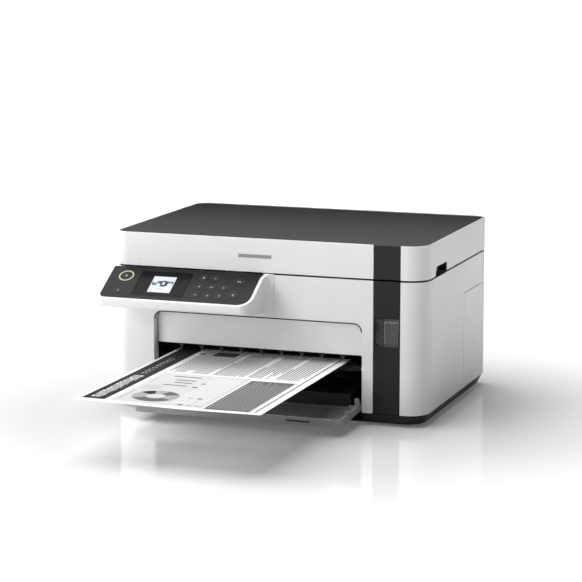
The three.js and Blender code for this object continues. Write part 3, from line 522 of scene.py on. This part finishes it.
def lcdShape():
    (x0, x1), (y0, y1) = display["lcd"]
    floor = display["glassZ"][1] + display["lift"]
    layer = {name: (floor + low, floor + high) for name, (low, high) in lcdLayers.items()}
    inset = display["skyInset"]

    def across(shares):
        return [x0 + (x1 - x0) * share for share in shares]

    def up(shares):
        return [y0 + (y1 - y0) * share for share in shares]

    base = plate((x0, x1), (y0, y1), layer["base"], display["corner"], 0, 1)
    sky = plate((x0 + inset, x1 - inset), up(display["sky"]), layer["sky"], display["skyCorner"], 0, 2)
    shareX, shareY, size = display["globe"]
    globe = sign((*across([shareX]), *up([shareY]), layer["globe"][0]), (y1 - y0) * size, 32, 0, 4)
    pageX, pageY = display["page"]
    page = plate(across(pageX), up(pageY), layer["page"], display["pageCorner"], 0, 1)
    lineX, lineY = display["line"]
    line = plate(across(lineX), up(lineY), layer["line"], 0, 0, 3)
    clouds = []
    for shareX, shareY, size in display["clouds"]:
        place = (*across([shareX]), *up([shareY]), layer["clouds"][0])
        clouds.append(sign(place, (y1 - y0) * size, 20, 0, 1, display["cloudStretch"]))
    return [base, sky, globe, page, line] + clouds


glass = plate(*display["glass"], display["glassZ"], display["glassCorner"], display["glassEdge"])
finishPiece(gather([glass] + lcdShape()), "display_window", "chassis",
            [screenGlass, lcdPale, lcdBlue, inkGrey, lcdDark], ["display"], where=panelFrame)
print("display done")

# printed sheet: gentle curl, and print that lies on the same curve
sheetLow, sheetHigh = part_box("printed_sheet")
sheet = dict(
    left=(sheetLow.x - leftSide) / mm, right=(sheetHigh.x - leftSide) / mm,
    front=(sheetLow.y - frontFace) / mm, rear=(sheetHigh.y - frontFace) / mm, top=sheetHigh.z / mm,
    below=0.3, drop=0.5, curl=1.1, wave=0.35, waves=1.1, start=0.6, thick=0.12, drawnBack=26, kept=0.01,
    areaLift=0.14, markLift=0.2, cell=(14, 12))


def sheetHeight(x, y):
    out = max(0.0, -y) / -sheet["front"]
    across = (x - sheet["left"]) / (sheet["right"] - sheet["left"])
    sag = sheet["drop"] * out
    lift = sheet["curl"] * out ** 4 * (1 - across) ** 2
    ripple = sheet["wave"] * out * math.sin(across * 2 * math.pi * sheet["waves"] + sheet["start"])
    return sheet["top"] - sheet["below"] - sag + lift + ripple


def bendSheet(shape, lift=0.0):
    for vert in shape.verts:
        vert.co.z += sheetHeight(vert.co.x, vert.co.y) + lift
    return shape


def patch(x0, x1, y0, y1, look=0):  # flat area cut fine enough to follow the curl
    shape = bmesh.new()
    columns = max(1, round((x1 - x0) / sheet["cell"][0]))
    rows = max(1, round((y1 - y0) / sheet["cell"][1]))
    bmesh.ops.create_grid(shape, x_segments=columns, y_segments=rows, size=0.5)
    bmesh.ops.scale(shape, vec=(x1 - x0, y1 - y0, 1), verts=shape.verts)
    bmesh.ops.translate(shape, vec=((x0 + x1) / 2, (y0 + y1) / 2, 0), verts=shape.verts)
    return paint(shape, look)


def squashSheet(piece):
    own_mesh(piece)


paper = patch(sheet["left"], sheet["right"], sheet["front"], sheet["rear"])
bmesh.ops.subdivide_edges(paper, edges=paper.edges[:], cuts=1, use_grid_fill=True)
bendSheet(paper)
bmesh.ops.solidify(paper, geom=paper.faces[:], thickness=sheet["thick"])
bmesh.ops.recalc_face_normals(paper, faces=paper.faces[:])
paperPiece = finishPiece(
    paper, "printed_sheet_paper", "printed_sheet", [paperWhite], ["printed_sheet"], where=printerFrame)
squashSheet(paperPiece)

# the print, in inks 0 black, 1 dark, 2 grey, 3 pale and 4 bare paper
page = dict(
    band=(72.8, 99.0, -250), rule=(268.4, 270.0, -253), table=(212.0, 262.6, -253, -110),
    panel=(105.0, 209.5, -250, -103), blocks=[(122.5, 150, -1.5, 20), (105, 112, 2, 9)],
    columns=[(105.5, 158), (161.5, 199), (202.5, 231), (235, 263)], columnY=(-97, 20), columnInset=2.5,
    columnRules=[(107.5, -94, -62), (160.8, -97, -30), (201.6, -95, -40), (234.0, -96, -40)],
    columnRuleWide=1.5, panelRules=[(109.0, -153, -128), (110.5, -241, -193)], panelRuleWide=1.4,
    bars=[(123.7, 155.6, -117), (132.6, 156, -134), (135.6, 156, -146), (127.7, 155.5, -160)], barHalf=1.6,
    tabs=[(169, -144, 1), (166, -163, 0), (181.5, -211.7, 2), (191.5, -212, 0), (182.4, -244, 0),
          (191.9, -244.2, 2), (201.7, -244, 2)], tabHalf=(2.8, 1.8),
    ringAt=(143, -216), ringRadii=(10.5, 25.5), ringWedges=[(110, 150, 0), (215, 330, 1), (30, 75, 1)])
boldMarks = dict(
    count=13, start=9, pitch=9.0, inset=6.5, jitter=1, length=(10, 13), wide=1.9, step=4.2,
    links=[0.5, 5, 9], linkWide=2)
smallMarks = dict(count=9, start=134, pitch=10, rows=[(10, 12, 0, 8.5), (14, 15.6, 1, 8)], shortest=5)
tableLines = dict(count=12, inset=3, pitch=4.1, wide=1.1, margin=4, ragged=20)
textLines = dict(pitch=3.4, share=0.36, full=0.7, shortest=0.7)
panelText = [(171, 207, -240, -112, 4, 4.4, 0.25), (113, 133, -187, -166, 2, 3.0, 0.25)]


def runMarks(x0, x1, y0, y1, look, rng, pitch=textLines["pitch"], share=textLines["share"]):
    marks = []
    x = x0
    while x < x1 - pitch * share:
        end = y0
        if rng.random() >= textLines["full"]:
            end = y0 + (y1 - y0) * (1 - textLines["shortest"]) * rng.random()
        marks.append(patch(x, x + pitch * share, end, y1, look))
        x += pitch
    return marks


def donutMark(centre, inner, outer, steps=48):
    shape = bmesh.new()
    bmesh.ops.create_circle(shape, cap_ends=False, segments=steps, radius=inner)
    bmesh.ops.create_circle(shape, cap_ends=False, segments=steps, radius=outer)
    bmesh.ops.bridge_loops(shape, edges=shape.edges[:])
    for face in shape.faces:
        middle = face.calc_center_median()
        share = (math.degrees(math.atan2(middle.y, middle.x)) + 360) % 360
        face.material_index = 2
        for low, high, look in page["ringWedges"]:
            if low < share < high:
                face.material_index = look
    bmesh.ops.translate(shape, vec=(centre[0], centre[1], 0), verts=shape.verts)
    bmesh.ops.reverse_faces(shape, faces=[face for face in shape.faces if face.normal.z < 0])
    return shape


def bandMarks(rng):  # bold marks that spell nothing, then two rows of small ones
    bandLeft, _, bandFront = page["band"]
    marks = []
    for index in range(boldMarks["count"]):
        start = bandFront + boldMarks["start"] + index * boldMarks["pitch"]
        left = bandLeft + boldMarks["inset"] + rng.uniform(0, boldMarks["jitter"])
        for part in range(2):
            low = start + part * boldMarks["step"]
            right = left + rng.uniform(*boldMarks["length"])
            marks.append(patch(left, right, low, low + boldMarks["wide"], 4))
        link = left + rng.choice(boldMarks["links"])
        marks.append(patch(
            link, link + boldMarks["linkWide"], start + boldMarks["wide"], start + boldMarks["step"], 4))
    for index in range(smallMarks["count"]):
        start = bandFront + smallMarks["start"] + index * smallMarks["pitch"]
        for left, right, shift, longest in smallMarks["rows"]:
            end = start + rng.uniform(smallMarks["shortest"], longest)
            marks.append(patch(bandLeft + left, bandLeft + right, start + shift, end, 2))
    return marks


def tableMarks(rng):
    tableLeft, _, tableFront, tableRear = page["table"]
    marks = []
    for index in range(tableLines["count"]):
        x = tableLeft + tableLines["inset"] + index * tableLines["pitch"]
        end = tableRear - tableLines["margin"] - rng.uniform(0, tableLines["ragged"])
        marks.append(patch(x, x + tableLines["wide"], tableFront + tableLines["margin"], end, 2))
    return marks


def printAreas():
    rear = sheet["rear"] - 1
    stripes = [patch(*page["band"], rear, 0), patch(*page["rule"], rear, 0)]
    fields = [patch(*page["table"], 1), patch(*page["panel"], 3)]
    return stripes + fields + [patch(*block, 0) for block in page["blocks"]]


def printMarks():
    rng = random.Random(7)
    marks = bandMarks(rng) + tableMarks(rng)
    for left, right in page["columns"]:
        marks += runMarks(left + page["columnInset"], right, *page["columnY"], 1, rng)
    for x, y0, y1 in page["columnRules"]:
        marks.append(patch(x, x + page["columnRuleWide"], y0, y1, 1))
    for x, y0, y1 in page["panelRules"]:
        marks.append(patch(x, x + page["panelRuleWide"], y0, y1, 2))
    for x0, x1, y0, y1, look, pitch, share in panelText:
        marks += runMarks(x0, x1, y0, y1, look, rng, pitch, share)
    for x0, x1, y in page["bars"]:
        marks.append(patch(x0, x1, y - page["barHalf"], y + page["barHalf"], 1))
    halfX, halfY = page["tabHalf"]
    for x, y, look in page["tabs"]:
        marks.append(patch(x - halfX, x + halfX, y - halfY, y + halfY, look))
    marks.append(donutMark(page["ringAt"], *page["ringRadii"]))
    return marks


inks = [inkBlack, inkDark, inkGrey, paleInkAndTankHighlight, paperWhite]
for name, parts, lift in [("sheet_print_areas", printAreas(), sheet["areaLift"]),
                          ("sheet_print_marks", printMarks(), sheet["markLift"])]:
    squashSheet(finishPiece(bendSheet(gather(parts), lift), name, "printed_sheet", inks,
                            slotName="sheet_paper", where=printerFrame))
print("printed sheet done")

# dark strip under the top edge of the opening: painted shade for the shadowed underside of its edge
openingShadeStrip = dict(x=(49.7, 301.5), top=115.9, foot=106, radius=9.7, wide=1.2, y=(0.3, 1.6), edge=0.25)


def openingShadeShape():
    (x0, x1), top, foot = openingShadeStrip["x"], openingShadeStrip["top"], openingShadeStrip["foot"]
    tall = (top - foot) * 2
    shape = bmesh.new()
    bmesh.ops.create_grid(shape, x_segments=1, y_segments=1, size=0.5)
    bmesh.ops.scale(shape, vec=(x1 - x0, tall, 1), verts=shape.verts)
    bmesh.ops.bevel(
        shape, geom=shape.verts[:], offset=openingShadeStrip["radius"], offset_type="OFFSET", segments=8,
        profile=0.5, affect="VERTICES", material=-1)
    inner = shape.faces[:]
    bmesh.ops.inset_region(
        shape, faces=inner, thickness=openingShadeStrip["wide"], depth=0, use_boundary=True, use_even_offset=True)
    bmesh.ops.delete(shape, geom=inner, context="FACES")
    bmesh.ops.bisect_plane(
        shape, geom=shape.verts[:] + shape.edges[:] + shape.faces[:], plane_co=(0, 0, 0),
        plane_no=(0, 1, 0), clear_inner=True)
    raised = bmesh.ops.extrude_face_region(shape, geom=shape.faces[:])
    back = [part for part in raised["geom"] if isinstance(part, bmesh.types.BMVert)]
    bmesh.ops.translate(shape, vec=(0, 0, openingShadeStrip["y"][1] - openingShadeStrip["y"][0]), verts=back)
    bmesh.ops.recalc_face_normals(shape, faces=shape.faces[:])
    soften(shape, openingShadeStrip["edge"])
    bmesh.ops.rotate(shape, cent=(0, 0, 0), matrix=Matrix.Rotation(math.pi / 2, 3, "X"), verts=shape.verts)
    bmesh.ops.translate(
        shape, vec=((x0 + x1) / 2, openingShadeStrip["y"][1], foot), verts=shape.verts)
    return shape


finishPiece(openingShadeShape(), "opening_painted_shade", "chassis", [blackPlastic], slotName="black_plastic",
            where=printerFrame)

# output tray: liner in three steps, front ridge and the slot for a finger
trayLiner = dict(
    y=(-66.5, -7), z=(-0.4, 0.1), corner=3, edge=0.2, steps=[(58, 150), (153, 236), (239, 293)])
trayRidge = dict(x=(62, 289), y=(-69.6, -68.7), z=(5.25, 5.7), corner=0.4, edge=0.15)
traySlot = dict(x=(236, 264), y=(-71.15, -70.6), z=(0.4, 2.4), corner=0.2, edge=0.1)


def slab(settings, look=0):
    return plate(
        settings["x"], settings["y"], settings["z"], settings.get("corner", 0), settings["edge"], look)


linerParts = [slab(dict(trayLiner, x=step)) for step in trayLiner["steps"]]
finishPiece(gather(linerParts), "output_tray_liner", "output_tray", [trayFloor], slotName="flap_grey",
            where=trayFrame)
finishPiece(gather([slab(trayRidge), slab(traySlot, 1)]), "output_tray_lip", "output_tray",
            [flapWhiteWithPaintedLight, blackPlastic], slotName="flap_grey", where=trayFrame)

# scanner: lid pad, blank badge, lining of the finger pull
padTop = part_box("document_lid")[0].z / mm
documentPad = dict(x=(22, 345), y=(30, 243), z=(padTop - 2.6, padTop - 0.05), corner=5, edge=0.8)
finishPiece(slab(documentPad), "document_pad", "document_lid", [paperWhite], slotName="white_plastic",
            where=printerFrame)
blankBadge = dict(x=(154, 194), y=(-0.2, 0.3), z=(183.6, 187.6), corner=0.2, edge=0.1)
finishPiece(slab(blankBadge), "blank_badge", "scanner_unit", [trayPlastic], slotName="flap_grey",
            where=printerFrame)

fingerPull = dict(depth=9, skin=(0.05, 0.5), reach=(0.5, 8.4))
notchBack = (housingHigh.x - leftSide) / mm - fingerPull["depth"]
notchSkin = [notchBack + step for step in fingerPull["skin"]]
notchReach = [notchBack + step for step in fingerPull["reach"]]
notchParts = [dict(x=notchSkin, y=(43.5, 87.9), z=(167.5, 177.4), edge=0.1),
              dict(x=notchReach, y=(46.5, 87.9), z=(177.0, 177.4), edge=0.1),
              dict(x=notchReach, y=(87.5, 87.9), z=(167.5, 177.0), edge=0.1)]
finishPiece(gather([slab(part) for part in notchParts]), "finger_pull_lining", "scanner_unit", [basePlastic],
            slotName="black_plastic", where=printerFrame)

# inside: everything that the raised scanner or the open slot shows
starBar = dict(x=(58, 292), y=(17, 21), z=(75.2, 76.8), edge=0.3)
starWheel = dict(
    count=9, first=76, pitch=24.6, y=21, z=71.2, radius=3.2, wide=0.8, edge=0.1, sides=12,
    holderX=(-2.5, 3.3), holderY=(18, 23.5), holderZ=(72.5, 76))


def starWheels():
    parts = [slab(starBar)]
    y, z = starWheel["y"], starWheel["z"]
    for index in range(starWheel["count"]):
        x = starWheel["first"] + index * starWheel["pitch"]
        parts.append(rod((x, y, z), (x + starWheel["wide"], y, z), starWheel["radius"], starWheel["edge"], 1,
                         starWheel["sides"]))
        holderX = [x + step for step in starWheel["holderX"]]
        parts.append(plate(holderX, starWheel["holderY"], starWheel["holderZ"], 0, starBar["edge"]))
    return gather(parts)


finishPiece(starWheels(), "star_wheel_bar", "chassis", [blackPlastic, trayFloor], slotName="black_plastic",
            where=printerFrame)

latchKnob = dict(y=4.5, z=63, edge=0.4, knobs=[(300.55, 301.7, 2.2), (49.5, 50.65, 2.0)])
knobs = []
for x0, x1, radius in latchKnob["knobs"]:
    y, z = latchKnob["y"], latchKnob["z"]
    knobs.append(rod((x0, y, z), (x1, y, z), radius, latchKnob["edge"]))
finishPiece(gather(knobs), "slot_latch_knobs", "chassis", [whitePlastic], slotName="white_plastic",
            where=printerFrame)

encoderTape = dict(x=(52, 300), y=(92.2, 92.5), z=(132, 138), edge=0)
tapeHolder = dict(y=(90, 95), z=(128, 141), edge=0.3)
encoder = [slab(encoderTape)] + [slab(dict(tapeHolder, x=x), 1) for x in [(50, 53), (299, 302)]]
finishPiece(gather(encoder), "encoder_strip", "chassis", [windowClear, blackPlastic],
            slotName="clear_window", where=printerFrame)

chip = dict(
    columns=8, rows=4, first=(80, 44), pitch=(20.5, 22), drift=(2, 3), wide=[4, 6, 9, 13],
    tall=[3, 5, 8, 12], deep=[1.2, 1.8, 3.0], looks=[0, 0, 1], edge=0.15, gap=0.02)
capacitor = dict(count=3, x=236, first=52, pitch=24, radius=4, reach=9, edge=0.4)


def boardShape():
    rng = random.Random(3)
    parts = []
    face = (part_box("main_board")[0].y - frontFace) / mm
    driftX, driftZ = chip["drift"]
    for column in range(chip["columns"]):
        for row in range(chip["rows"]):
            x = chip["first"][0] + column * chip["pitch"][0] + rng.uniform(-driftX, driftX)
            z = chip["first"][1] + row * chip["pitch"][1] + rng.uniform(-driftZ, driftZ)
            wide = rng.choice(chip["wide"])
            tall = rng.choice(chip["tall"])
            deep = rng.choice(chip["deep"])
            look = rng.choice(chip["looks"])
            depth = (face - deep, face - chip["gap"])
            parts.append(plate((x, x + wide), depth, (z, z + tall), 0, chip["edge"], look))
    for row in range(capacitor["count"]):
        x = capacitor["x"]
        z = capacitor["first"] + row * capacitor["pitch"]
        parts.append(rod((x, face - chip["gap"], z), (x, face - capacitor["reach"], z), capacitor["radius"],
                         capacitor["edge"], 1))
    return gather(parts)


finishPiece(boardShape(), "board_components", "chassis", [blackPlastic, railSteel], slotName="black_plastic",
            where=printerFrame)

supplyCase = dict(x=(8, 40), y=(112, 222), z=(18, 66), edge=0.8)
# the slots are not cut: dark strips on the case stand in for them, painted shade
supplySlotShade = dict(x=(12, 36), z=(66, 66.5), edge=0.15, count=9, first=122, pitch=10, wide=4)
supplyParts = [slab(supplyCase)]
for index in range(supplySlotShade["count"]):
    slotY = supplySlotShade["first"] + index * supplySlotShade["pitch"]
    supplyParts.append(slab(dict(supplySlotShade, y=(slotY, slotY + supplySlotShade["wide"])), 1))
finishPiece(gather(supplyParts), "power_supply_case", "chassis", [canSteel, blackPlastic],
            slotName="rail_steel", where=printerFrame)

consoleBoard = dict(x=(20, 170), y=(-40, -12), z=(-6.2, -4.8), edge=0.1)
consoleChip = dict(x=(60, 90), y=(-38, -16), z=(-4.8, -2.2), edge=0.3)
finishPiece(gather([slab(consoleBoard), slab(consoleChip, 1)]), "console_board", "chassis",
            [boardGreen, blackPlastic], slotName="board_green", where=panelFrame)

# ink tank's front, seen through the window: ribs, pale strips on the top and left rims that are a painted
# highlight, and a dark end
tankFace = (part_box("ink_tank")[0].y - frontFace) / mm - 0.05
inkRib = dict(count=6, first=328, pitch=3.2, wide=1.3, depth=1.25, z=(94, 117.5), edge=0.2)
inkRimHighlight = [dict(x=(326.2, 346), z=(117.6, 119.0), edge=0.2), dict(x=(326.2, 327.2), z=(94, 117.5), edge=0.2)]
inkRimHighlightDepth = 1.65
inkEnd = dict(x=(317.5, 325.9), y=(tankFace - 2.55, tankFace), z=(92.5, 121.5), corner=0.5, edge=0.3)
inkParts = []
for index in range(inkRib["count"]):
    ribLeft = inkRib["first"] + index * inkRib["pitch"]
    ribPlace = dict(x=(ribLeft, ribLeft + inkRib["wide"]), y=(tankFace - inkRib["depth"], tankFace))
    inkParts.append(slab(dict(inkRib, **ribPlace)))
# pale strips along the tank's top and left rims: painted highlight
inkParts += [slab(dict(part, y=(tankFace - inkRimHighlightDepth, tankFace)), 2) for part in inkRimHighlight]
inkParts.append(slab(inkEnd, 1))
finishPiece(gather(inkParts), "ink_tank_ribs", "chassis", [tankRib, blackPlastic, paleInkAndTankHighlight],
            slotName="tank_clear", where=printerFrame)

# back and sides
louvre = dict(share=0.5, edge=0.15, backEdge=0.1, overlap=0.4, proud=0.5)


def louvres(x, y, z, count, across="x"):
    # the black plate behind the slats stands in for the dark openings: painted shade
    parts = [plate(x, y, z, 0, louvre["backEdge"], 1)]
    overlap, proud = louvre["overlap"], louvre["proud"]
    first, last = z if across == "x" else y
    step = (last - first) / count
    for index in range(count):
        low = first + index * step
        slat = (low, low + step * louvre["share"])
        if across == "x":
            slatX, slatY, slatZ = (x[0] - overlap, x[1] + overlap), (y[0], y[1] + proud), slat
        else:
            slatX, slatY, slatZ = (x[0] - proud, x[1]), slat, (z[0] - overlap, z[1] + overlap)
        parts.append(plate(slatX, slatY, slatZ, 0, louvre["edge"]))
    return gather(parts)


rearFace = (housingHigh.y - frontFace) / mm
rearVents = dict(x=(90, 150), y=(rearFace - 0.3, rearFace + 0.12), z=(40, 76), count=9)
finishPiece(louvres(**rearVents), "rear_vents", "chassis", [whitePlastic, blackPlastic],
            slotName="white_plastic", where=printerFrame)
sideVents = dict(x=(-0.12, 0.3), y=(150, 214), z=(30, 58), count=12, across="y")
finishPiece(louvres(**sideVents), "left_side_vents", "chassis", [whitePlastic, blackPlastic],
            slotName="white_plastic", where=printerFrame)

# socket parts: half sizes and middle across and up, and where they start and end off the rear face
usbPlace = (300, 40)
usbParts = [
    dict(half=(8, 7.5), middle=(0, 0), stand=(-0.3, 0.25), edge=0.2, look=1),
    dict(half=(6, 0.4), middle=(0, -5.2), stand=(0.1, 0.7), edge=0.1, look=0),
    dict(half=(6, 0.4), middle=(0, 5.2), stand=(0.1, 0.7), edge=0.1, look=0),
    dict(half=(0.4, 5.6), middle=(-5.6, 0), stand=(0.1, 0.7), edge=0.1, look=0),
    dict(half=(0.4, 5.6), middle=(5.6, 0), stand=(0.1, 0.7), edge=0.1, look=0),
    dict(half=(2.8, 2), middle=(0, 0), stand=(0.2, 0.6), edge=0.1, look=2)]


def onRear(place, part):
    x, z = place[0] + part["middle"][0], place[1] + part["middle"][1]
    wide, tall = part["half"]
    depth = [rearFace + stand for stand in part["stand"]]
    return plate((x - wide, x + wide), depth, (z - tall, z + tall), 0, part["edge"], part["look"])


finishPiece(gather([onRear(usbPlace, part) for part in usbParts]), "usb_socket", "chassis",
            [railSteel, blackPlastic, acetal], slotName="rail_steel", where=printerFrame)

screw = dict(radius=3.0, stand=(-0.2, 0.9), edge=0.5, columns=[24, 187, 350], rows=[24, 150])
# the cross recess is not cut: thin dark plates on the head stand in for it, painted shade
crossSlotShade = [dict(half=half, middle=(0, 0), stand=(0.85, 0.95), edge=0, look=1)
              for half in [(1.7, 0.35), (0.35, 1.7)]]
screws = []
for x in screw["columns"]:
    for z in screw["rows"]:
        low, high = [rearFace + stand for stand in screw["stand"]]
        screws.append(rod((x, low, z), (x, high, z), screw["radius"], screw["edge"]))
        screws += [onRear((x, z), slot) for slot in crossSlotShade]
finishPiece(gather(screws), "rear_screws", "chassis", [canSteel, blackPlastic], slotName="rail_steel",
            where=printerFrame)
print("details done")

# studio
studio = dict(
    floorSize=1.8, floorTone=(0.80, 0.80, 0.80), floorRough=0.10, floorShine=0.8, floorGlow=(0.10, 1.2),
    glowFrom=0.27, glowTo=0.95, roomLight=0.02, backdrop=1.05)
softboxes = [
    dict(name="overheadSoftbox", place=(-0.8, 0.1, 2.4), aim=(0, 0, 0.1), size=(2.8, 3.0), power=98),
    dict(name="frontSoftbox", place=(-1.3, -1.6, 0.9), aim=(0, 0, 0.1), size=(1.2, 1.2), power=22),
    dict(name="backSoftbox", place=(-0.1, 1.3, 0.83), aim=(0, 0, 0.6), size=(3.0, 0.9), power=2.2)]
floorShape = bmesh.new()
bmesh.ops.create_grid(floorShape, x_segments=1, y_segments=1, size=studio["floorSize"])
floorMesh = bpy.data.meshes.new("studioFloor")
floorShape.to_mesh(floorMesh)
floorShape.free()
studioFloor = bpy.data.objects.new("studioFloor", floorMesh)
bpy.context.scene.collection.objects.link(studioFloor)
floorMaterial, floorShader = newMaterial("studioFloor")
floorShader.inputs["Base Color"].default_value = (*studio["floorTone"], 1)
floorShader.inputs["Roughness"].default_value = studio["floorRough"]
floorShader.inputs["Specular IOR Level"].default_value = studio["floorShine"]
floorShader.inputs["Emission Color"].default_value = (1, 1, 1, 1)
floorPlace = addNode(floorMaterial, "ShaderNodeTexCoord")
floorReach = addNode(floorMaterial, "ShaderNodeVectorMath", operation="LENGTH")
wire(floorMaterial, floorPlace.outputs["Object"], floorReach.inputs[0])
floorGlow = spread(
    floorMaterial, floorReach.outputs["Value"], *studio["floorGlow"], studio["glowFrom"], studio["glowTo"])
wire(floorMaterial, floorGlow, floorShader.inputs["Emission Strength"])
floorMesh.materials.append(floorMaterial)

for softbox in softboxes:
    lampData = bpy.data.lights.new(softbox["name"], "AREA")
    lampData.shape = "RECTANGLE"
    lampData.size, lampData.size_y = softbox["size"]
    lampData.energy = softbox["power"]
    lamp = bpy.data.objects.new(softbox["name"], lampData)
    bpy.context.scene.collection.objects.link(lamp)
    lamp.location = softbox["place"]
    towards = Vector(softbox["aim"]) - Vector(softbox["place"])
    lamp.rotation_euler = towards.to_track_quat("-Z", "Y").to_euler()

# white backdrop for the lens, dim room for everything else
world = bpy.data.worlds.new("studioWorld")
bpy.context.scene.world = world
world.use_nodes = True
worldNodes = world.node_tree.nodes
room = worldNodes["Background"]
room.inputs["Color"].default_value = (1, 1, 1, 1)
room.inputs["Strength"].default_value = studio["roomLight"]
backdrop = worldNodes.new("ShaderNodeBackground")
backdrop.inputs["Color"].default_value = (1, 1, 1, 1)
backdrop.inputs["Strength"].default_value = studio["backdrop"]
worldMix = worldNodes.new("ShaderNodeMixShader")
rayKind = worldNodes.new("ShaderNodeLightPath")
worldLinks = world.node_tree.links
worldLinks.new(rayKind.outputs["Is Camera Ray"], worldMix.inputs["Fac"])
worldLinks.new(room.outputs["Background"], worldMix.inputs[1])
worldLinks.new(backdrop.outputs["Background"], worldMix.inputs[2])
worldLinks.new(worldMix.outputs["Shader"], worldNodes["World Output"].inputs["Surface"])
bpy.context.scene.view_settings.view_transform = "Standard"
